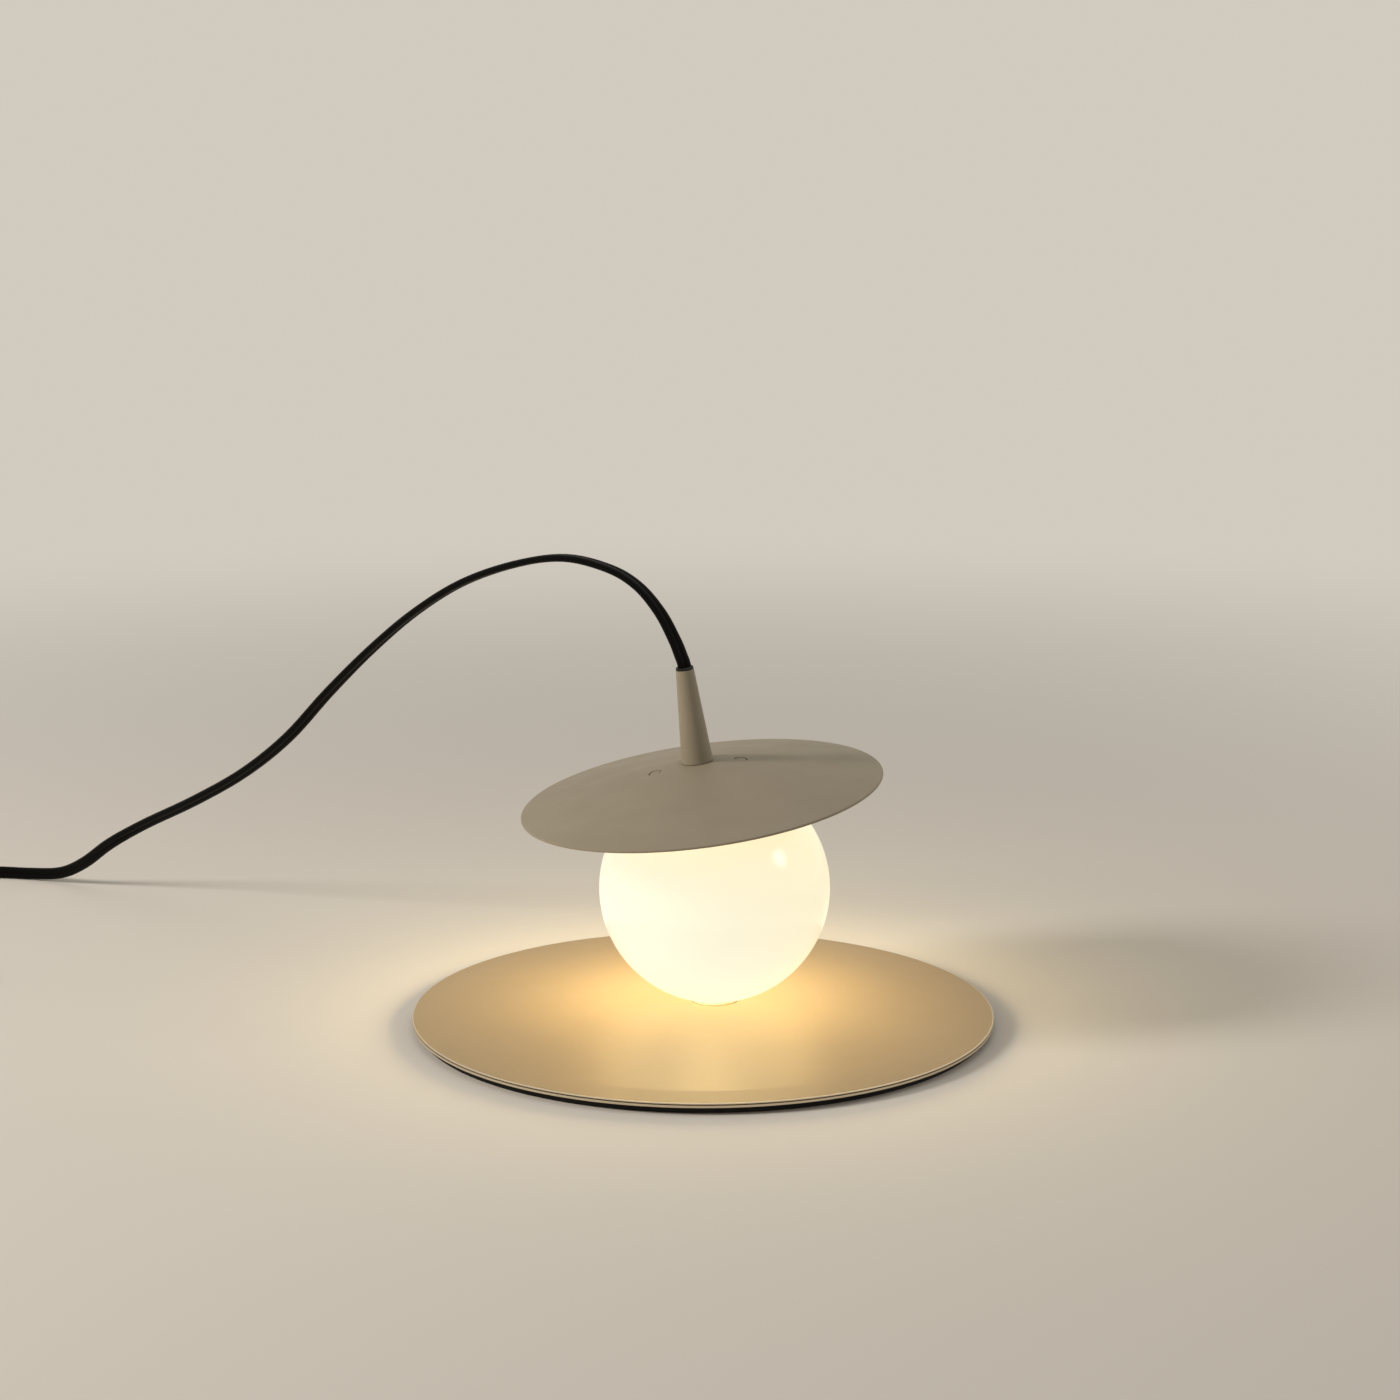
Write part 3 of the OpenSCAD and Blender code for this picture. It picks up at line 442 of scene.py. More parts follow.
def champagne_metal():
    """Satin plate with a brighter cut edge, which is also more of a mirror."""
    material, tree, shader = start_finish("champagne_metal")
    place = object_place(tree)
    mottle(tree, shader, place, colours().plate, dark=0.95, scale=16)
    body = shader.inputs["Base Color"].links[0].from_socket
    flat = add(tree, "ShaderNodeMapping", {"Vector": place, "Scale": (1, 1, 0)}).outputs["Vector"]
    edge_width = 0.5 * MM
    inside = bpy.context.scene.lamp_base.diameter / 2 - edge_width
    rim = reckon(tree, "GREATER_THAN", distance(tree, flat), inside)
    mix = add(tree, "ShaderNodeMixRGB", {"Fac": rim, "Color1": body, "Color2": colours().plate_edge})
    tree.links.new(mix.outputs["Color"], shader.inputs["Base Color"])
    top_metal = 0.38
    rim_metal = 0.8
    metal = reckon(tree, "MULTIPLY_ADD", rim, rim_metal - top_metal, top_metal)
    tree.links.new(metal, shader.inputs["Metallic"])
    dull(tree, shader, place, 0.42, 0.48, scale=35)
    grain(tree, shader, place, scale=2600, depth=0.01 * MM)
    return material


def beige_paint():
    """Matte paint with a fine orange peel."""
    material, tree, shader = start_finish("beige_paint")
    place = object_place(tree)
    mottle(tree, shader, place, colours().paint, dark=0.9, scale=26)
    dull(tree, shader, place, 0.5, 0.6, scale=60)
    grain(tree, shader, place, scale=1300, depth=0.05 * MM)
    return material


def opal_glass():
    """Lit glass that is brightest low on the left, under a glossy skin."""
    material, tree, shader = start_finish("opal_glass", coat_weight=0.6, coat_roughness=0.17,
                                          emission_strength=0.88)
    place = object_place(tree)
    mottle(tree, shader, place, colours().glass, dark=0.95, scale=20)
    dull(tree, shader, place, 0.13, 0.19, scale=30)
    from_middle = add(tree, "ShaderNodeMapping", {"Vector": place, "Location": -HEAD_PIVOT}).outputs["Vector"]
    bright_way = (-0.45, -0.25, -0.85)
    side = add(tree, "ShaderNodeVectorMath", {0: from_middle, 1: bright_way}, operation="DOT_PRODUCT")
    radius = bpy.context.scene.lamp_head.globe_radius
    soft_end = -0.6 * radius
    bright_end = 0.75 * radius
    share = add(tree, "ShaderNodeMapRange",
                {"Value": side.outputs["Value"], "From Min": soft_end, "From Max": bright_end})
    ramp = add(tree, "ShaderNodeValToRGB", {"Fac": share.outputs["Result"]})
    ramp.color_ramp.elements[0].color = colours().glow_soft
    ramp.color_ramp.elements[1].color = colours().glow_bright
    tree.links.new(ramp.outputs["Color"], shader.inputs["Emission Color"])
    return material


def black_flex():
    """Smooth sheath with faint drawing marks along it."""
    material, tree, shader = start_finish("black_flex")
    shader.inputs["Specular IOR Level"].default_value = 0.08
    place = flex_place(tree, (60, 8, 1))
    mottle(tree, shader, place, colours().sheath, dark=0.7, scale=3)
    dull(tree, shader, place, 0.34, 0.46, scale=2)
    grain(tree, shader, flex_place(tree, (500, 12, 1)), scale=3, depth=0.03 * MM)
    return material


def tie_fabric():
    """Woven tape."""
    material, tree, shader = start_finish("tie_fabric", sheen_weight=0.4)
    place = object_place(tree)
    mottle(tree, shader, place, colours().tape, dark=0.6, scale=900)
    dull(tree, shader, place, 0.8, 0.95, scale=300)
    weave = add(tree, "ShaderNodeTexWave", {"Vector": place, "Scale": 260, "Distortion": 1.5})
    emboss(tree, shader, weave.outputs["Fac"], 0.15 * MM)
    return material


SPECIAL_FINISHES = {
    "champagne_metal": champagne_metal,
    "beige_paint": beige_paint,
    "opal_glass": opal_glass,
    "black_flex": black_flex,
    "tie_fabric": tie_fabric,
}

# Finishes that need no more than the usual drift and grain, each with the name of its colour
PLAIN_FINISHES = {
    "black_foam": {"shade": "moulding", "roughness": 0.9, "grain_scale": 700, "depth": 0.2 * MM},
    "black_nylon": {"shade": "moulding", "roughness": 0.55},
    "black_rubber": {"shade": "sheath", "roughness": 0.62, "grain_scale": 2200},
    "black_plastic": {"shade": "moulding", "roughness": 0.48, "grain_scale": 2400, "depth": 0.03 * MM},
    "black_gloss": {"shade": "sheath", "roughness": 0.2, "grain_scale": 400, "depth": 0.004 * MM,
                    "coat_weight": 0.5},
    "zinc_steel": {"shade": "zinc", "roughness": 0.34, "metallic": 1},
    "white_steel": {"shade": "enamel", "roughness": 0.4, "grain_scale": 900},
    "bare_aluminium": {"shade": "aluminium", "roughness": 0.36, "metallic": 1},
    "bare_brass": {"shade": "brass", "roughness": 0.32, "metallic": 1},
    "nickel_pins": {"shade": "nickel", "roughness": 0.22, "metallic": 1, "depth": 0.008 * MM},
    "white_ceramic": {"shade": "ceramic", "roughness": 0.6},
    "white_silicone": {"shade": "gasket", "roughness": 0.62},
    # The seat's ring glows though it is no lamp: painted light from the globe above it.
    "clear_silicone": {"shade": "seat_ring", "roughness": 0.4, "glow": 0.4},
    "frosted_bulb": {"shade": "frost", "roughness": 0.4, "glow": 1},
    "core_insulation": {"shade": "insulation", "roughness": 0.45},
}


def finish(slot):
    """The material of a slot, made when it is first asked for."""
    made = bpy.data.materials.get(slot + "_finish")
    if made:
        return made
    if slot in SPECIAL_FINISHES:
        return SPECIAL_FINISHES[slot]()
    return plain_finish(slot, **PLAIN_FINISHES[slot])


# Objects
def placed(name, data):
    """A new object in the scene that holds the data."""
    made = bpy.data.objects.new(name, data)
    bpy.context.scene.collection.objects.link(made)
    return made


def plain_mesh(source):
    """A new mesh of what an object's modifiers make."""
    depsgraph = bpy.context.evaluated_depsgraph_get()
    return bpy.data.meshes.new_from_object(source.evaluated_get(depsgraph), depsgraph=depsgraph)


# Geometry node trees
def start_tree(name, inputs):
    """A new geometry tree with named inputs, its entry node and its output node."""
    tree = bpy.data.node_groups.new(name, "GeometryNodeTree")
    tree.interface.new_socket("Geometry", in_out="INPUT", socket_type="NodeSocketGeometry")
    for label, kind in inputs.items():
        tree.interface.new_socket(label, in_out="INPUT", socket_type="NodeSocket" + kind)
    tree.interface.new_socket("Geometry", in_out="OUTPUT", socket_type="NodeSocketGeometry")
    return tree, add(tree, "NodeGroupInput").outputs, add(tree, "NodeGroupOutput")


def end_tree(tree, geometry, entry, leave):
    """Makes instances real, sets the material and ends the tree."""
    real = add(tree, "GeometryNodeRealizeInstances", {"Geometry": geometry})
    dressed = add(tree, "GeometryNodeSetMaterial",
                  {"Geometry": real.outputs["Geometry"], "Material": entry["Material"]})
    tree.links.new(dressed.outputs["Geometry"], leave.inputs["Geometry"])


def turning_tree():
    """Turns an outline of points, with the radius in X and the height in Z, once around the Z axis."""
    tree, entry, leave = start_tree("turning_tree", {"Segments": "Int", "Material": "Material"})
    size = add(tree, "GeometryNodeAttributeDomainSize", {"Geometry": entry["Geometry"]})
    count = size.outputs["Point Count"]
    grid = add(tree, "GeometryNodeMeshGrid",
               {"Vertices X": reckon(tree, "ADD", entry["Segments"], 1.0), "Vertices Y": count})
    index = add(tree, "GeometryNodeInputIndex").outputs["Index"]
    outline = add(tree, "GeometryNodeSampleIndex", {"Geometry": entry["Geometry"]}, data_type="FLOAT_VECTOR")
    tree.links.new(add(tree, "GeometryNodeInputPosition").outputs["Position"], outline.inputs["Value"])
    tree.links.new(reckon(tree, "MODULO", index, count), outline.inputs["Index"])
    column = reckon(tree, "FLOOR", reckon(tree, "DIVIDE", index, count))
    turn = reckon(tree, "MULTIPLY", reckon(tree, "DIVIDE", column, entry["Segments"]), math.tau)
    point = add(tree, "ShaderNodeSeparateXYZ", {"Vector": outline.outputs["Value"]}).outputs
    place = add(tree, "ShaderNodeCombineXYZ", {
        "X": reckon(tree, "MULTIPLY", point["X"], reckon(tree, "COSINE", turn)),
        "Y": reckon(tree, "MULTIPLY", point["X"], reckon(tree, "SINE", turn)),
        "Z": point["Z"]})
    moved = add(tree, "GeometryNodeSetPosition",
                {"Geometry": grid.outputs["Mesh"], "Position": place.outputs["Vector"]})
    closed = add(tree, "GeometryNodeMergeByDistance",
                 {"Geometry": moved.outputs["Geometry"], "Distance": SEAM})
    end_tree(tree, closed.outputs["Geometry"], entry, leave)
    return tree


def ring_tree():
    """Sets copies of a piece around the Z axis, each leaning outwards."""
    tree, entry, leave = start_tree("ring_tree", {
        "Count": "Int", "Radius": "Float", "Height": "Float", "Lean": "Float", "First Turn": "Float",
        "Material": "Material"})
    index = add(tree, "GeometryNodeInputIndex").outputs["Index"]
    share = reckon(tree, "DIVIDE", index, entry["Count"])
    turn = reckon(tree, "ADD", reckon(tree, "MULTIPLY", share, math.tau), entry["First Turn"])
    place = add(tree, "ShaderNodeCombineXYZ", {
        "X": reckon(tree, "MULTIPLY", entry["Radius"], reckon(tree, "COSINE", turn)),
        "Y": reckon(tree, "MULTIPLY", entry["Radius"], reckon(tree, "SINE", turn)),
        "Z": entry["Height"]})
    points = add(tree, "GeometryNodePoints", {"Count": entry["Count"], "Position": place.outputs["Vector"]})
    angles = add(tree, "ShaderNodeCombineXYZ", {"Y": entry["Lean"], "Z": turn})
    rotation = add(tree, "FunctionNodeEulerToRotation", {"Euler": angles.outputs["Vector"]})
    copies = add(tree, "GeometryNodeInstanceOnPoints", {
        "Points": points.outputs["Points"], "Instance": entry["Geometry"],
        "Rotation": rotation.outputs["Rotation"]})
    end_tree(tree, copies.outputs["Instances"], entry, leave)
    return tree


def row_tree():
    """Sets copies of a piece in a row from a first place, one step apart."""
    tree, entry, leave = start_tree("row_tree", {
        "Count": "Int", "First": "Vector", "Step": "Vector", "Material": "Material"})
    index = add(tree, "GeometryNodeInputIndex").outputs["Index"]
    reach = add(tree, "ShaderNodeVectorMath", {0: entry["Step"], "Scale": index}, operation="SCALE")
    place = add(tree, "ShaderNodeVectorMath", {0: entry["First"], 1: reach.outputs["Vector"]},
                operation="ADD")
    points = add(tree, "GeometryNodePoints", {"Count": entry["Count"], "Position": place.outputs["Vector"]})
    copies = add(tree, "GeometryNodeInstanceOnPoints",
                 {"Points": points.outputs["Points"], "Instance": entry["Geometry"]})
    end_tree(tree, copies.outputs["Instances"], entry, leave)
    return tree


def grown(mesh, make_tree, slot, **values):
    """Runs a geometry tree on a mesh and returns the plain mesh that it makes."""
    tree = bpy.data.node_groups.get(make_tree.__name__) or make_tree()
    source = placed("source", mesh)
    modifier = source.modifiers.new("grow", "NODES")
    modifier.node_group = tree
    values["Material"] = finish(slot)
    for socket in tree.interface.items_tree:
        label = socket.name.replace(" ", "_")
        if socket.in_out == "INPUT" and label in values:
            modifier[socket.identifier] = values[label]
    made = plain_mesh(source)
    source.modifiers.remove(modifier)
    bpy.data.objects.remove(source)
    return made


# Outlines and places
def lift(height):
    """A move upwards."""
    return Matrix.Translation((0, 0, height))


def full_turn(count):
    """Angles that divide a full turn evenly."""
    return [math.tau * i / count for i in range(count)]


def arc(middle, radius, start, end, steps):
    """Points of an arc in the outline's plane, from one angle to another in degrees."""
    turns = [math.radians(start + (end - start) * i / steps) for i in range(steps + 1)]
    return [(middle[0] + radius * math.cos(turn), middle[1] + radius * math.sin(turn)) for turn in turns]


def inset(outline, depth):
    """Moves a closed outline, which runs anticlockwise, inwards."""
    moved = []
    for i, (x, y) in enumerate(outline):
        ahead = (Vector(outline[(i + 1) % len(outline)]) - Vector(outline[i - 1])).normalized()
        moved.append((x - ahead.y * depth, y + ahead.x * depth))
    return moved


def slot_edge(turn, half_width, radius):
    """Point on the outline of a slot with round ends in a direction from its middle."""
    across = abs(math.cos(turn))
    along = abs(math.sin(turn))
    reach = half_width - radius
    if radius * across > reach * along:
        far = reach * across + math.sqrt(radius ** 2 - (reach * along) ** 2)
    else:
        far = radius / along
    return far * math.cos(turn), far * math.sin(turn)


def rod(radius, low, high):
    """Outline of a plain rod to be turned."""
    return [(0, low), (radius, low), (radius, high), (0, high)]


def rounded_box(half_x, half_y, corner):
    """Outline of a rectangle with round corners, anticlockwise."""
    points = []
    for start, side_x, side_y in ((0, 1, 1), (90, -1, 1), (180, -1, -1), (270, 1, -1)):
        points += arc((side_x * (half_x - corner), side_y * (half_y - corner)), corner, start, start + 90, 6)
    return points


def smooth_step(value, low, high):
    """A soft rise from 0 to 1 between two values."""
    share = max(0, min(1, (value - low) / (high - low)))
    return share * share * (3 - 2 * share)


# Meshes
def tidy(mesh, place=None, sharp=SHARP_ANGLE, least=DOUBLES):
    """Merges doubles, turns faces outwards, sets the place and smooths all but sharp edges."""
    work = bmesh.new()
    work.from_mesh(mesh)
    bmesh.ops.remove_doubles(work, verts=work.verts, dist=least)
    bmesh.ops.dissolve_degenerate(work, dist=least, edges=work.edges)
    bmesh.ops.recalc_face_normals(work, faces=work.faces)
    if place is not None:
        bmesh.ops.transform(work, matrix=place, verts=work.verts)
    work.to_mesh(mesh)
    work.free()
    mesh.shade_smooth()
    mesh.set_sharp_from_angle(angle=math.radians(sharp))
    return mesh


def turned(outline, slot, place=None, segments=128):
    """A mesh turned from an outline of radius and height."""
    mesh = bpy.data.meshes.new("outline")
    points = [(radius, 0, height) for radius, height in outline]
    mesh.from_pydata(points, [(i, i + 1) for i in range(len(points) - 1)], [])
    return tidy(grown(mesh, turning_tree, slot, Segments=segments), place)


def lofted(sections, slot, closed=False, place=None, sharp=SHARP_ANGLE):
    """A mesh through sections of like count: closed into a ring, or capped at both ends."""
    count = len(sections[0])
    faces = []
    for row in range(len(sections) - (0 if closed else 1)):
        below = row * count
        above = (row + 1) % len(sections) * count
        for i in range(count):
            after = (i + 1) % count
            faces.append((below + i, below + after, above + after, above + i))
    if not closed:
        faces.append(tuple(reversed(range(count))))
        faces.append(tuple(range((len(sections) - 1) * count, len(sections) * count)))
    mesh = bpy.data.meshes.new("loft")
    mesh.from_pydata([point for section in sections for point in section], [], faces)
    mesh.materials.append(finish(slot))
    return tidy(mesh, place, sharp)


def circle(middle, radius, height, count=192):
    """Section of a round piece."""
    x, y = middle
    return [(x + radius * math.cos(turn), y + radius * math.sin(turn), height) for turn in full_turn(count)]


def joined(meshes):
    """One mesh from several."""
    work = bmesh.new()
    for mesh in meshes:
        work.from_mesh(mesh)
    work.to_mesh(meshes[0])
    work.free()
    meshes[0].shade_smooth()
    meshes[0].set_sharp_from_angle(angle=math.radians(SHARP_ANGLE))
    return meshes[0]


def cut(mesh, cutter):
    """Cuts one closed mesh out of another."""
    target = placed("target", mesh)
    tool = placed("tool", cutter)
    modifier = target.modifiers.new("cut", "BOOLEAN")
    modifier.operation = "DIFFERENCE"
    modifier.solver = "EXACT"
    modifier.object = tool
    result = plain_mesh(target)
    for used in (target, tool):
        bpy.data.objects.remove(used)
    return tidy(result, least=SLIVERS)


def piece(name, mesh, *nodes, rides=True):
    """A finished piece in place of CAD nodes, which rides on their body unless told not to."""
    mesh.name = name
    made = placed(name, mesh)
    if rides:
        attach(made, frame["nodes"][nodes[0]]["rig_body"])
    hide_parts(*nodes)
    return made


def dress(*nodes, slot=None):
    """Gives CAD nodes the finish of their slot, or of another."""
    for name in nodes:
        node = frame["nodes"][name]
        node.data.materials.clear()
        node.data.materials.append(finish(slot or SLOT_OF[name]))


# Flex
def spline(before, start, end, after, share):
    """A place between start and end on a smooth curve through four points."""
    square = share * share
    cube = square * share
    return (2 * start + (end - before) * share + (2 * before - 5 * start + 4 * end - after) * square
            + (3 * start - before - 3 * end + after) * cube) / 2


def smooth_line(stations):
    """A smooth line of places and width directions through the stations of a route."""
    line = []
    for i in range(len(stations) - 1):
        around = [stations[max(0, min(len(stations) - 1, j))] for j in (i - 1, i, i + 1, i + 2)]
        for k in range(FLEX_STEPS):
            share = k / FLEX_STEPS
            line.append(tuple(spline(*(station[half] for station in around), share) for half in (0, 1)))
    line.append(stations[-1])
    return line


def stations_of(route):
    """The places and width directions of a route in millimetres."""
    return [(Vector(point[:3]) * MM, Vector(point[3:])) for point in route]


def on_head(height):
    """A place on the head's axis, over the globe's middle."""
    return HEAD_PLACE @ Vector((0, 0, height))


def flex_outline(sizes):
    """Half round ends with flats between them, and a groove between the cores in each flat."""
    half = sizes.thickness / 2
    reach = sizes.width / 2 - half
    right = [(reach + x, y) for x, y in arc((0, 0), half, -90, 90, 8)]
    steps = 6
    for i in range(steps + 1):
        share = i / steps
        dip = sizes.groove_depth * math.sin(math.pi * share) ** 2
        right.append((sizes.groove_width * (0.5 - share), half - dip))
    return right + [(-x, -y) for x, y in right]


def flex_mesh(line, sizes):
    """The flat flex along a line, with length and girth as a UV map, and the line's places and length."""
    outline = flex_outline(sizes)
    sections = []
    for i, (place, wide) in enumerate(line):
        ahead = (line[min(i + 1, len(line) - 1)][0] - line[max(i - 1, 0)][0]).normalized()
        across = (wide - wide.dot(ahead) * ahead).normalized()
        over = ahead.cross(across)
        sections.append([place + across * x + over * y for x, y in outline])
    mesh = lofted(sections, "black_flex", sharp=60)
    travel = [0]
    for (first, _), (second, _) in zip(line, line[1:]):
        travel.append(travel[-1] + (second - first).length)
    count = len(outline)
    layer = mesh.uv_layers.new(name="flex")
    for loop in mesh.loops:
        row, step = divmod(loop.vertex_index, count)
        layer.data[loop.index].uv = (travel[row], step / count)
    return mesh, [place for place, _ in line], travel[-1]


def coil_stations(sizes):
    """Turns of the coil: inwards in the lower layer, up on the inside and outwards in the upper one."""
    middle = Vector((sizes.coil_x, sizes.coil_y, 0))
    half_spread = sizes.turn_pitch * sizes.layer_turns / 2
    outer = sizes.coil_radius + half_spread
    inner = sizes.coil_radius - half_spread
    total = 2 * sizes.layer_turns + COIL_CLIMB
    climbed = sizes.layer_turns + COIL_CLIMB
    count = round(total * COIL_STEPS)
    stations = []
    for i in range(count + 1):
        turns = total * i / count
        inwards = min(1, turns / sizes.layer_turns)
        outwards = max(0, (turns - climbed) / sizes.layer_turns)
        rise = smooth_step(turns, sizes.layer_turns, climbed)
        radius = outer + (inner - outer) * (inwards - outwards)
        height = sizes.low_layer + (sizes.high_layer - sizes.low_layer) * rise
        turn = math.pi + math.tau * turns
        place = middle + Vector((radius * math.cos(turn), radius * math.sin(turn), height))
        stations.append((place, Vector((0, 0, -1))))
    return stations


# Operators
class LAMP_OT_stage(bpy.types.Operator):
    """Sets the camera, the floor, the lights and the background"""
    bl_idname = "lamp.stage"
    bl_label = "Stage"

    def execute(self, context):
        scene = context.scene
        scene.view_settings.view_transform = "Standard"
        self.set_camera(scene)
        self.lay_floor()
        self.light("key", place=(-1.6, -0.4, 0.9), size=0.45, power=24, tint=(1, 0.97, 0.93), mirrored=False)
        self.light("glint", place=(1.35, -0.25, 0.75), size=0.36, power=1.4, tint=(1, 0.98, 0.95))
        self.light("rim", place=(1.3, 0.8, 0.4), size=0.5, power=4, tint=(1, 0.97, 0.92), mirrored=False)
        self.light("overhead", place=(0.2, 0.3, 1.9), size=1.8, power=5, tint=(1, 0.98, 0.95))
        self.light_globe()
        self.set_background(scene)
        return {"FINISHED"}

    def set_camera(self, scene):
        """The camera at the photograph's viewing angle."""
        data = bpy.data.cameras.new("camera")
        data.sensor_width = SENSOR
        data.lens = SENSOR * FOCAL_PIXELS / FRAME_PIXELS
        camera = placed("camera", data)
        camera.location = CAMERA_AT
        camera.rotation_euler = (math.pi / 2 + CAMERA_PITCH, 0, 0)
        scene.camera = camera

    def lay_floor(self):
        """A wide floor at the lamp's foot."""
        reach = FLOOR_REACH
        mesh = bpy.data.meshes.new("floor")
        corners = [(-reach, -reach, 0), (reach, -reach, 0), (reach, reach, 0), (-reach, reach, 0)]
        mesh.from_pydata(corners, [], [(0, 1, 2, 3)])
        mesh.materials.append(self.floor_finish())
        floor = placed("floor", mesh)

    def floor_finish(self):
        """A matte floor that goes over into the background far from the lamp."""
        material, tree, shader = start_finish("pale_floor", roughness=0.75)
        shader.inputs["Base Color"].default_value = colours().floor
        shader.inputs["Specular IOR Level"].default_value = 0
        away = distance(tree, object_place(tree))
        near, far = FLOOR_FADE
        fade = add(tree, "ShaderNodeMapRange", {"Value": away, "From Min": near, "From Max": far},
                   interpolation_type="SMOOTHSTEP").outputs["Result"]
        background = add(tree, "ShaderNodeEmission",
                         {"Color": colours().floor, "Strength": BACKGROUND_STRENGTH})
        share = reckon(tree, "MULTIPLY", fade, seen_rays(tree))
        mix = add(tree, "ShaderNodeMixShader", {0: share, 1: shader.outputs[0], 2: background.outputs[0]})
        tree.links.new(mix.outputs[0], tree.nodes["Material Output"].inputs["Surface"])
        return material

    def light(self, name, place, size, power, tint, mirrored=True):
        """A round studio light that faces the globe."""
        data = bpy.data.lights.new(name, "AREA")
        data.shape = "DISK"
        data.size = size
        data.energy = power
        data.color = tint
        lamp = placed(name, data)
        lamp.visible_glossy = mirrored
        lamp.location = place
        lamp.rotation_euler = (HEAD_PIVOT - lamp.location).to_track_quat("-Z", "Y").to_euler()

    def light_globe(self):
        """The light that the globe gives."""
        data = bpy.data.lights.new("globe_light", "POINT")
        data.shadow_soft_size = BULB_RADIUS
        data.energy = BULB_POWER
        data.color = colours().bulb_light[:3]
        placed("globe_light", data).location = BULB_AT

    def set_background(self, scene):
        """A pale background to be seen, and a softer light of its own for everything else."""
        world = bpy.data.worlds.new("background")
        world.use_nodes = True
        scene.world = world
        tree = world.node_tree
        soft = tree.nodes["Background"]
        soft.inputs["Color"].default_value = SOFT_LIGHT
        soft.inputs["Strength"].default_value = SOFT_STRENGTH
        seen = add(tree, "ShaderNodeBackground", {"Color": colours().floor, "Strength": BACKGROUND_STRENGTH})
        mix = add(tree, "ShaderNodeMixShader", {0: seen_rays(tree), 1: soft.outputs[0], 2: seen.outputs[0]})
        tree.links.new(mix.outputs[0], tree.nodes["World Output"].inputs["Surface"])


class LAMP_OT_flex(bpy.types.Operator):
    """Lays the flex from the sleeve to the switch, and from there through its coil to the plug"""
    bl_idname = "lamp.flex"
    bl_label = "Flex"

    def execute(self, context):
        sizes = context.scene.lamp_flex
        wide = Vector(WIDE_AT_EXIT)
        start = [(on_head(height), wide) for height in (FLEX_START_HEIGHT, FLEX_EXIT_HEIGHT)]
        line = smooth_line(start + stations_of(ROUTE_TO_SWITCH))
        mesh, path, reach = flex_mesh(line, sizes)
        arch = piece("flex_arch", mesh, "flex_to_switch", rides=False)
        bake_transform(arch)

        coil = coil_stations(sizes)
        to_coil = smooth_line(stations_of(ROUTE_TO_COIL) + coil[:2])
        to_plug = smooth_line(coil[-2:] + stations_of(ROUTE_TO_PLUG))
        line = to_coil[:-FLEX_STEPS - 1] + coil + to_plug[FLEX_STEPS + 1:]
        mesh, path, reach = flex_mesh(line, sizes)
        tail = piece("flex_tail", mesh, "flex_coil", "flex_to_coil", "flex_to_plug")
        return {"FINISHED"}


class LAMP_OT_base(bpy.types.Operator):
    """Makes the base plate and dresses the pad and seat under the globe"""
    bl_idname = "lamp.base"
    bl_label = "Base"

    def execute(self, context):
        sizes = context.scene.lamp_base
        radius = sizes.diameter / 2
        low = sizes.underside
        top = low + sizes.thickness
        edge = sizes.edge
        soft = edge / 4
        step = top - sizes.recess_depth
        groove_top = top - 1.25 * edge
        groove_end = groove_top - sizes.groove_height
        groove_radius = radius - sizes.groove_depth
        seat = (SEAT.x, SEAT.y)
        rim = arc((radius - edge, top - edge), edge, 90, 0, 5)
        rim += [(radius, groove_top), (groove_radius, groove_top)]
        rim += [(groove_radius, groove_end), (radius, groove_end)]
        rim += arc((radius - edge / 2, low + edge / 2), edge / 2, 0, -90, 4)
        sections = [circle(seat, sizes.seat_recess, step), circle(seat, sizes.seat_recess, top - soft),
                    circle(seat, sizes.seat_recess + soft, top)]
        sections += [circle((0, 0), r, z) for r, z in rim]
        sections += [circle(seat, sizes.spindle_bore, low), circle(seat, sizes.spindle_bore, step)]
        piece("base_disc", lofted(sections, "champagne_metal", closed=True), "base_plate")
        dress("foot_pad", "spindle", "seat_ring", "spindle_washer", "spindle_screw")
        return {"FINISHED"}


class LAMP_OT_globe(bpy.types.Operator):
    """Makes the opal globe and dresses its collar, gasket and bulb"""
    bl_idname = "lamp.globe"
    bl_label = "Globe"

    def execute(self, context):
        sizes = context.scene.lamp_head
        outer = sizes.globe_radius
        inner = outer - sizes.glass
        bore = sizes.neck_radius - sizes.glass
        lip = sizes.glass / 2
        neck_from = math.degrees(math.acos(sizes.neck_radius / outer))
        bore_from = math.degrees(math.acos(bore / inner))
        outline = arc((0, 0), outer, -90, neck_from, 72)
        outline += arc((sizes.neck_radius - lip, sizes.neck_top - lip), lip, 0, 180, 8)
        outline += arc((0, 0), inner, bore_from, -90, 72)
        globe = piece("glass_globe", turned(outline, "opal_glass", HEAD_PLACE, segments=160), "globe")
        globe.visible_shadow = False
        dress("globe_collar", "neck_gasket", "bulb_cap", "bulb_pins", "bulb_envelope")
        return {"FINISHED"}


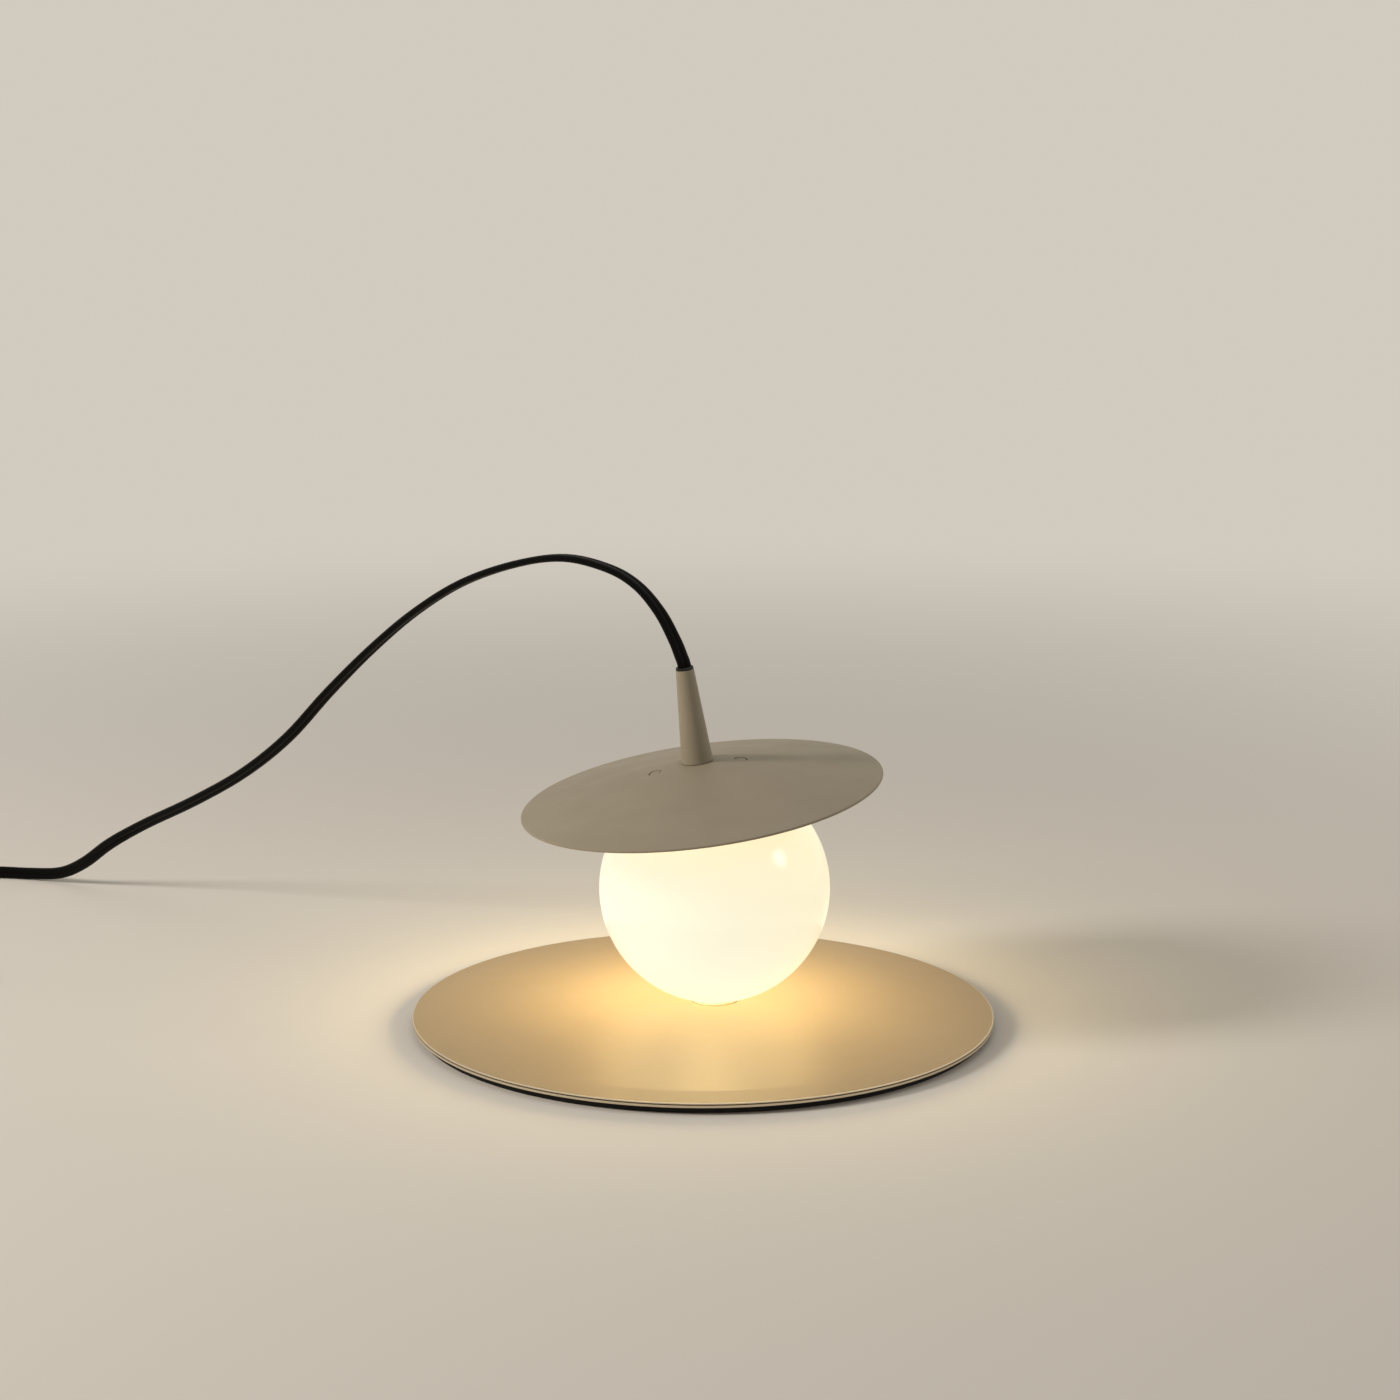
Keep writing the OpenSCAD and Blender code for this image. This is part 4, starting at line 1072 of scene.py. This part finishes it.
class LAMP_OT_hat(bpy.types.Operator):
    """Makes the hat and its rivets"""
    bl_idname = "lamp.hat"
    bl_label = "Hat"

    def execute(self, context):
        sizes = context.scene.lamp_head
        slope = math.atan(sizes.hat_rise / (sizes.hat_radius - sizes.crown_radius))
        degrees = math.degrees(slope)
        half = sizes.hat_sheet / 2
        tip = (sizes.hat_radius - half, sizes.crown_height - sizes.hat_rise - half)
        bend = sizes.crown_bend
        start = sizes.crown_radius - bend * math.tan(slope / 2)
        hole = sizes.sleeve_bore
        crown = arc((start, sizes.crown_height - bend), bend, 90, 90 - degrees, 6)
        rim = arc(tip, half, 90 - degrees, -90 - degrees, 10)
        under = arc((start, sizes.crown_height - bend), bend - sizes.hat_sheet, 90 - degrees, 90, 6)
        outline = [(hole, sizes.crown_height)] + crown + rim + under
        outline += [(hole, sizes.crown_height - sizes.hat_sheet), (hole, sizes.crown_height)]
        room = sizes.rivet_radius + sizes.rivet_room
        low = -sizes.rivet_depth
        drill = rod(room, low, sizes.rivet_depth)
        hat = cut(turned(outline, "beige_paint", segments=192), self.at_rivets(sizes, slope, drill))
        hat.transform(HEAD_PLACE)
        piece("cone_hat", hat, "hat")

        edge = 0.3 * MM
        top = -sizes.rivet_sink
        head = [(0, low), (sizes.rivet_radius, low)]
        head += arc((sizes.rivet_radius - edge, top - edge), edge, 0, 90, 4)
        head += [(0, top)]
        piece("rivet_heads", tidy(self.at_rivets(sizes, slope, head), HEAD_PLACE), "hat_rivets")
        dress("gallery", "nipple", "nipple_nuts", "holder_bracket", "holder_screws", "lampholder",
              "holder_contacts", "core_wires")
        return {"FINISHED"}

    def at_rivets(self, sizes, slope, outline):
        """A turned outline at each rivet's place, square to the hat's slope."""
        height = sizes.crown_height - (sizes.rivet_reach - sizes.crown_radius) * math.tan(slope)
        return grown(turned(outline, "beige_paint", segments=48), ring_tree, "beige_paint", Count=2,
                     Radius=sizes.rivet_reach, Height=height, Lean=slope, First_Turn=sizes.rivet_turn)


class LAMP_OT_sleeve(bpy.types.Operator):
    """Makes the tapered sleeve with its grub screw's hole, and the bush that the flex leaves"""
    bl_idname = "lamp.sleeve"
    bl_label = "Sleeve"

    def execute(self, context):
        sizes = context.scene.lamp_head
        foot = sizes.crown_height
        mouth = foot + sizes.sleeve_length
        edge = 0.35 * MM
        bore = sizes.sleeve_bore
        socket = sizes.socket_radius
        socket_top = foot + sizes.socket_depth
        outline = [(socket, foot), (sizes.sleeve_foot - edge, foot), (sizes.sleeve_foot, foot + edge)]
        outline += arc((sizes.sleeve_mouth - edge, mouth - edge), edge, 0, 90, 4)
        outline += [(bore, mouth), (bore, socket_top), (socket, socket_top), (socket, foot)]
        body = turned(outline, "beige_paint", segments=96)
        drill_length = 10 * MM
        to_back = lift(foot + sizes.screw_height) @ Matrix.Rotation(-math.pi / 2, 4, "X")
        drill = turned(rod(sizes.screw_radius, 0, drill_length), "beige_paint", to_back, segments=32)
        body = cut(body, drill)
        body.transform(HEAD_PLACE)
        piece("taper_sleeve", body, "sleeve")
        self.make_bush(sizes, context.scene.lamp_flex, mouth)
        dress("sleeve_screw", "flex_grip")
        dress("flex_in_sleeve", slot="black_rubber")
        return {"FINISHED"}

    def make_bush(self, sizes, flex, mouth):
        """A lip around the flex at the sleeve's mouth, with a slot as wide as the flex."""
        edge = 0.3 * MM
        room = 0.1 * MM
        fine = 48
        low = mouth - sizes.bush_depth
        top = mouth + sizes.bush_flange
        bore = sizes.sleeve_bore
        lip = sizes.sleeve_mouth - edge / 3
        rings = [(bore, low), (bore, mouth), (lip, mouth), (lip, top - edge)]
        rings.append((sizes.sleeve_mouth - edge, top))
        half_width = flex.width / 2 + room
        half_height = flex.thickness / 2 + room
        slot = [slot_edge(turn, half_width, half_height) for turn in full_turn(fine)]
        sections = [circle((0, 0), radius, height, fine) for radius, height in rings]
        sections += [[(x, y, height) for x, y in slot] for height in (top, low)]
        wide = HEAD_PLACE.to_3x3().inverted() @ Vector(WIDE_AT_EXIT)
        place = HEAD_PLACE @ Matrix.Rotation(math.atan2(wide.y, wide.x), 4, "Z")
        piece("flex_lip", lofted(sections, "black_rubber", closed=True, place=place), "flex_bush")


class LAMP_OT_switch(bpy.types.Operator):
    """Makes the two shells and the rocker of the switch in the flex"""
    bl_idname = "lamp.switch"
    bl_label = "Switch"

    def execute(self, context):
        sizes = context.scene.lamp_switch
        self.make_shells(sizes, context.scene.lamp_flex)
        self.make_rocker(sizes)
        dress("switch_screws", "rocker_pin", "switch_contacts", "contact_bridge", "switch_cores")
        return {"FINISHED"}

    def half_shell(self, sizes, flex, depth, nose_depth):
        """A U-shaped shell from nose to nose, with its open side at height 0 and its back at the depth."""
        edge = 2.4 * MM
        edge_share = 0.6
        lip = 0.2 * MM
        bevel = 0.6 * MM
        room = 0.1 * MM
        closing_length = 6 * MM
        fine = 40
        reach = sizes.half_length - bevel
        stations = [(sizes.half_length, bevel)]
        stations += [(reach + (sizes.shoulder - reach) * i / fine, 0) for i in range(fine + 1)]
        stations += [(-along, bite) for along, bite in reversed(stations)]
        sections = []
        for along, bite in stations:
            narrow = smooth_step(abs(along), sizes.shoulder, sizes.nose_root)
            closes = smooth_step(abs(along), sizes.nose_root - closing_length, sizes.nose_root)
            half = sizes.half_width + (sizes.nose_half_width - sizes.half_width) * narrow
            back = depth + (nose_depth - depth) * narrow - bite
            inner = max(half - sizes.wall, flex.width / 2 + room)
            inner_back = depth - sizes.wall
            inner_back += (flex.thickness / 2 + room - inner_back) * closes
            half -= bite
            corner = min(edge, edge_share * half, edge_share * back)
            side = [(half - lip, 0), (half, lip)]
            side += arc((half - corner, back - corner), corner, 0, 90, 6)
            outer = side + [(-y, z) for y, z in reversed(side)]
            outline = outer + [(-inner, 0), (-inner, inner_back), (inner, inner_back), (inner, 0)]
            sections.append([(along, y, z) for y, z in outline])
        return lofted(sections, "black_plastic")

    def make_shells(self, sizes, flex):
        """The cover with the rocker's opening, and the base with the wells of its two screws."""
        taper = 3.6 * MM
        cover_depth = sizes.height - sizes.split - sizes.seam
        cover = self.half_shell(sizes, flex, cover_depth, cover_depth - taper)
        half_x = sizes.rocker_length / 2 + 2 * sizes.rocker_gap
        half_y = sizes.rocker_width / 2 + sizes.rocker_gap
        corner = 1 * MM
        chamfer = 0.4 * MM
        levels = ((0, 0), (0, cover_depth - chamfer), (chamfer, cover_depth),
                  (2 * chamfer, cover_depth + chamfer))
        opening = [[(x, y, height) for x, y in rounded_box(half_x + room, half_y + room, corner)]
                   for room, height in levels]
        cover = cut(cover, lofted(opening, "black_plastic"))
        cover.transform(SWITCH_PLACE @ lift(sizes.split + sizes.seam))
        piece("switch_cover", cover, "switch_upper_shell")

        base_depth = sizes.split - sizes.seam
        base = self.half_shell(sizes, flex, base_depth, base_depth - taper / 2)
        well_floor = lift(base_depth - 1.5 * sizes.wall)
        well = turned(rod(sizes.well_radius, 0, 2 * sizes.wall), "black_plastic", well_floor, segments=32)
        first = (-sizes.screw_reach, -sizes.screw_aside, 0)
        step = (2 * sizes.screw_reach, 0, 0)
        base = cut(base, grown(well, row_tree, "black_plastic", Count=2, First=first, Step=step))
        upside_down = lift(base_depth) @ Matrix.Rotation(math.pi, 4, "X")
        base.transform(SWITCH_PLACE @ upside_down)
        piece("switch_base", base, "switch_lower_shell")

    def make_rocker(self, sizes):
        """A saddle-shaped rocker with ribs on its pressed end."""
        half = sizes.rocker_length / 2
        half_width = sizes.rocker_width / 2
        depth = 3 * MM
        dip = 2 * MM
        rise = half * math.tan(sizes.rocker_tilt)
        corner = 0.4 * MM
        bevel = 0.5 * MM
        soft = 0.3 * bevel
        steps = 16

        def saddle(x):
            """Height of the rocker's hollow top."""
            return dip + rise * (x / half) ** 2

        side = [(-half, -depth / 2), (-half / 2, -depth), (half / 2, -depth), (half, -depth / 2),
                (half, saddle(half) - corner)]
        for i in range(steps + 1):
            x = (half - corner) * (1 - 2 * i / steps)
            side.append((x, saddle(x)))
        side.append((-half, saddle(half) - corner))
        ends = ((bevel, 0), (soft, soft), (0, bevel))
        sections = [[(x, y - half_width, z) for x, z in inset(side, bite)] for bite, y in ends]
        sections += [[(x, half_width - y, z) for x, z in inset(side, bite)] for bite, y in reversed(ends)]
        rocker = lofted(sections, "black_gloss")

        radius = 0.3 * MM
        reach = half_width * 0.6
        bar = arc((0, -reach), radius, -90, 0, 4) + arc((0, reach), radius, 0, 90, 4)
        rib = turned(bar, "black_gloss", Matrix.Rotation(math.pi / 2, 4, "X"), segments=16)
        first = half * 0.5
        step = 1 * MM
        climb = saddle(first + step) - saddle(first)
        ribs = grown(rib, row_tree, "black_gloss", Count=3, First=(first, 0, saddle(first)),
                     Step=(step, 0, climb))
        rocker = joined([rocker, ribs])
        rocker.transform(SWITCH_PLACE @ lift(ROCKER_PIVOT.z) @ Matrix.Rotation(sizes.rocker_tilt, 4, "Y"))
        piece("rocker", rocker, "switch_rocker")


class LAMP_OT_plug(bpy.types.Operator):
    """Makes the plug: its body, the ribbed boot and the sleeved pins"""
    bl_idname = "lamp.plug"
    bl_label = "Plug"

    def execute(self, context):
        sizes = context.scene.lamp_plug
        low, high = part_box("plug_body")
        place = Matrix.Translation(((low.x + high.x) / 2, high.y, (low.z + high.z) / 2)) @ ALONG_FRONT
        self.make_body(sizes, place)
        self.make_boot(sizes, place)
        self.make_pins(sizes, place)
        return {"FINISHED"}

    def make_body(self, sizes, place):
        """Rounded sections that widen to the face, with grip grooves over the wide part."""
        edge = 1.2 * MM
        neck = sizes.boot_radius + 1 * MM
        wide_from = 0.62 * sizes.length
        high_from = 0.5 * sizes.length
        grooves_from = 0.66 * sizes.length
        groove_step = 2.5 * MM
        groove_depth = 0.7 * MM
        grooves_to = grooves_from + 4 * groove_step
        roundness = 0.45

        def squared(value):
            """A sine or cosine drawn outwards, which brings a circle near a square."""
            return math.copysign(abs(value) ** roundness, value)

        corners = [(squared(math.cos(turn)), squared(math.sin(turn))) for turn in full_turn(72)]

        def section(along, bite):
            """Section of the body at a distance from the boot, drawn in by the bite."""
            widen = smooth_step(along, 0, wide_from)
            swell = smooth_step(along, 0, high_from)
            half_width = neck + (sizes.half_width - neck) * widen - bite
            half_height = sizes.boot_radius + (sizes.half_height - sizes.boot_radius) * swell - bite
            if grooves_from < along < grooves_to:
                wave = math.cos(math.tau * (along - grooves_from) / groove_step)
                half_height -= groove_depth * (1 - wave) / 2
            return [(along, half_width * out, half_height * up) for out, up in corners]

        steps = 100
        straight = sizes.length - edge
        sections = [section(straight * i / steps, 0) for i in range(steps)]
        sections += [section(straight + z, edge - x) for x, z in arc((0, 0), edge, 0, 90, 6)]
        piece("plug_moulding", lofted(sections, "black_plastic", place=place, sharp=50), "plug_body")

    def make_boot(self, sizes, place):
        """A tapering boot with rings that let it bend."""
        rings = 6
        groove = 0.7 * MM
        flank = 0.2 * MM
        root = -0.5 * MM
        pitch = sizes.boot_length / (rings + 1)

        def radius_at(along):
            """Radius of the boot at a distance from the body."""
            return sizes.boot_radius + (sizes.boot_tip - sizes.boot_radius) * along / sizes.boot_length

        outline = [(0, root), (sizes.boot_radius, root)]
        for i in range(1, rings + 1):
            start = (i - 0.35) * pitch
            end = (i + 0.05) * pitch
            outline += [(radius_at(start), start), (radius_at(start) - groove, start + flank),
                        (radius_at(end) - groove, end - flank), (radius_at(end), end)]
        round_over = 0.6 * MM
        outline += arc((sizes.boot_tip - round_over, sizes.boot_length - round_over), round_over, 0, 90, 4)
        outline.append((0, sizes.boot_length))
        backwards = place @ Matrix.Rotation(-math.pi / 2, 4, "Y")
        piece("ribbed_boot", turned(outline, "black_rubber", backwards, segments=64), "plug_boot")

    def make_pins(self, sizes, place):
        """Two pins that lean towards each other, each with a sleeve around its shank."""
        tip = sizes.pin_radius / 2
        shank = sizes.shank_radius
        sleeve_end = sizes.sleeve_length
        root = -9.5 * MM
        edge = 0.1 * MM
        pin = [(0, root), (shank, root), (shank, sleeve_end)]
        pin += [(sizes.pin_radius - edge, sleeve_end), (sizes.pin_radius, sleeve_end + edge)]
        pin += arc((sizes.pin_radius - tip, sizes.pin_length - tip), tip, 0, 90, 6)
        pin.append((0, sizes.pin_length))
        room = 0.05 * MM
        inner = shank + room
        outer = sizes.sleeve_radius
        top = sleeve_end - room
        insulation = [(inner, room), (outer, room), (outer, top), (inner, top), (inner, room)]
        splay = math.atan((sizes.pin_pitch - sizes.pin_tip_pitch) / 2 / sizes.pin_length)
        places = []
        for side in (1, -1):
            at_face = Matrix.Translation((sizes.length, side * sizes.pin_pitch / 2, 0))
            inwards = Matrix.Rotation(-side * splay, 4, "Z") @ Matrix.Rotation(math.pi / 2, 4, "Y")
            places.append(place @ at_face @ inwards)
        pins = [turned(pin, "nickel_pins", spot, segments=48) for spot in places]
        sleeves = [turned(insulation, "black_plastic", spot, segments=48) for spot in places]
        piece("pins", joined(pins), "plug_pins")
        piece("pin_insulation", joined(sleeves), "pin_sleeves")


class LAMP_OT_ties(bpy.types.Operator):
    """Makes the hook-and-loop ties that hold the coil"""
    bl_idname = "lamp.ties"
    bl_label = "Ties"

    def execute(self, context):
        sizes = context.scene.lamp_flex
        middle = Matrix.Translation((sizes.coil_x, sizes.coil_y, 0))
        straps = []
        for i in range(sizes.tie_count):
            turn = sizes.tie_turn + math.tau * i / sizes.tie_count
            strap = self.make_strap(sizes, self.bundle_outline(sizes, turn))
            strap.transform(middle @ Matrix.Rotation(turn, 4, "Z"))
            straps.append(strap)
        piece("coil_straps", joined(straps), "coil_ties")
        return {"FINISHED"}

    def bundle_outline(self, sizes, turn):
        """Outline around the passes of the flex in one direction from the coil's middle, anticlockwise."""
        ahead = Vector((math.cos(turn), math.sin(turn), 0))
        aside = Vector((-math.sin(turn), math.cos(turn), 0))
        middle = Vector((sizes.coil_x, sizes.coil_y, 0))
        near = math.pi * sizes.coil_radius / COIL_STEPS
        section = flex_outline(sizes)
        points = []
        for place, _ in coil_stations(sizes):
            out = place - middle
            if out.dot(ahead) > 0 and abs(out.dot(aside)) <= near:
                points += [(out.dot(ahead) + y, place.z + x) for x, y in section]
        return [points[i] for i in convex_hull_2d(points)]

    def make_strap(self, sizes, outline):
        """A strap pulled around a bundle, with its end lapped over the top."""
        sheet = sizes.tie_sheet
        half_width = sizes.tie_width / 2
        room = 0.05 * MM
        edge = 0.2 * MM
        lap_low = room + 0.9 * sheet
        lap_high = room + 1.7 * sheet
        past_crest = 3
        around = ((room + sheet, edge - half_width), (room + sheet, half_width - edge),
                  (room + sheet - edge, half_width), (room + edge, half_width), (room, half_width - edge),
                  (room, edge - half_width), (room + edge, -half_width), (room + sheet - edge, -half_width))
        loops = [[(r, along, z) for r, z in inset(outline, -depth)] for depth, along in around]
        strap = lofted(loops, "tie_fabric", closed=True)
        under = inset(outline, -lap_low)
        over = inset(outline, -lap_high)
        crest = max(range(len(outline)), key=lambda i: outline[i][1])
        middle = (sizes.low_layer + sizes.high_layer) / 2
        lap = []
        for step in range(len(outline)):
            i = (crest + past_crest - step) % len(outline)
            if outline[i][1] <= middle:
                break
            (low_r, low_z), (high_r, high_z) = under[i], over[i]
            lap.append([(low_r, edge - half_width, low_z), (low_r, half_width - edge, low_z),
                        (high_r, half_width - edge, high_z), (high_r, edge - half_width, high_z)])
        return joined([strap, lofted(lap, "tie_fabric")])


# Panel
class LAMP_PT_parts(bpy.types.Panel):
    """Lists the lamp's pieces and their sizes"""
    bl_label = "Lamp"
    bl_idname = "LAMP_PT_parts"
    bl_space_type = "VIEW_3D"
    bl_region_type = "UI"
    bl_category = "Lamp"

    def draw(self, context):
        for operator in OPERATORS:
            self.layout.operator(operator.bl_idname)
        for name in SETTINGS:
            group = getattr(context.scene, name)
            box = self.layout.box()
            for key in group.__annotations__:
                box.prop(group, key)


SETTINGS = {
    "lamp_base": LampBase,
    "lamp_head": LampHead,
    "lamp_flex": LampFlex,
    "lamp_switch": LampSwitch,
    "lamp_plug": LampPlug,
    "lamp_colours": LampColours,
}
OPERATORS = (LAMP_OT_stage, LAMP_OT_base, LAMP_OT_globe, LAMP_OT_hat, LAMP_OT_sleeve, LAMP_OT_switch,
             LAMP_OT_plug, LAMP_OT_ties, LAMP_OT_flex)
CLASSES = (*SETTINGS.values(), *OPERATORS, LAMP_PT_parts)


def register():
    """Registers the classes and gives the scene their settings."""
    for part in CLASSES:
        bpy.utils.register_class(part)
    for name, group in SETTINGS.items():
        setattr(bpy.types.Scene, name, PointerProperty(type=group))


def unregister():
    """Takes the settings and the classes away again."""
    for name in SETTINGS:
        delattr(bpy.types.Scene, name)
    for part in reversed(CLASSES):
        bpy.utils.unregister_class(part)


def main():
    """Builds the lamp and its stage."""
    register()
    bpy.ops.lamp.stage()
    bpy.ops.lamp.base()
    bpy.ops.lamp.globe()
    bpy.ops.lamp.hat()
    bpy.ops.lamp.sleeve()
    bpy.ops.lamp.switch()
    bpy.ops.lamp.plug()
    bpy.ops.lamp.ties()
    bpy.ops.lamp.flex()


if __name__ == "__main__":
    main()
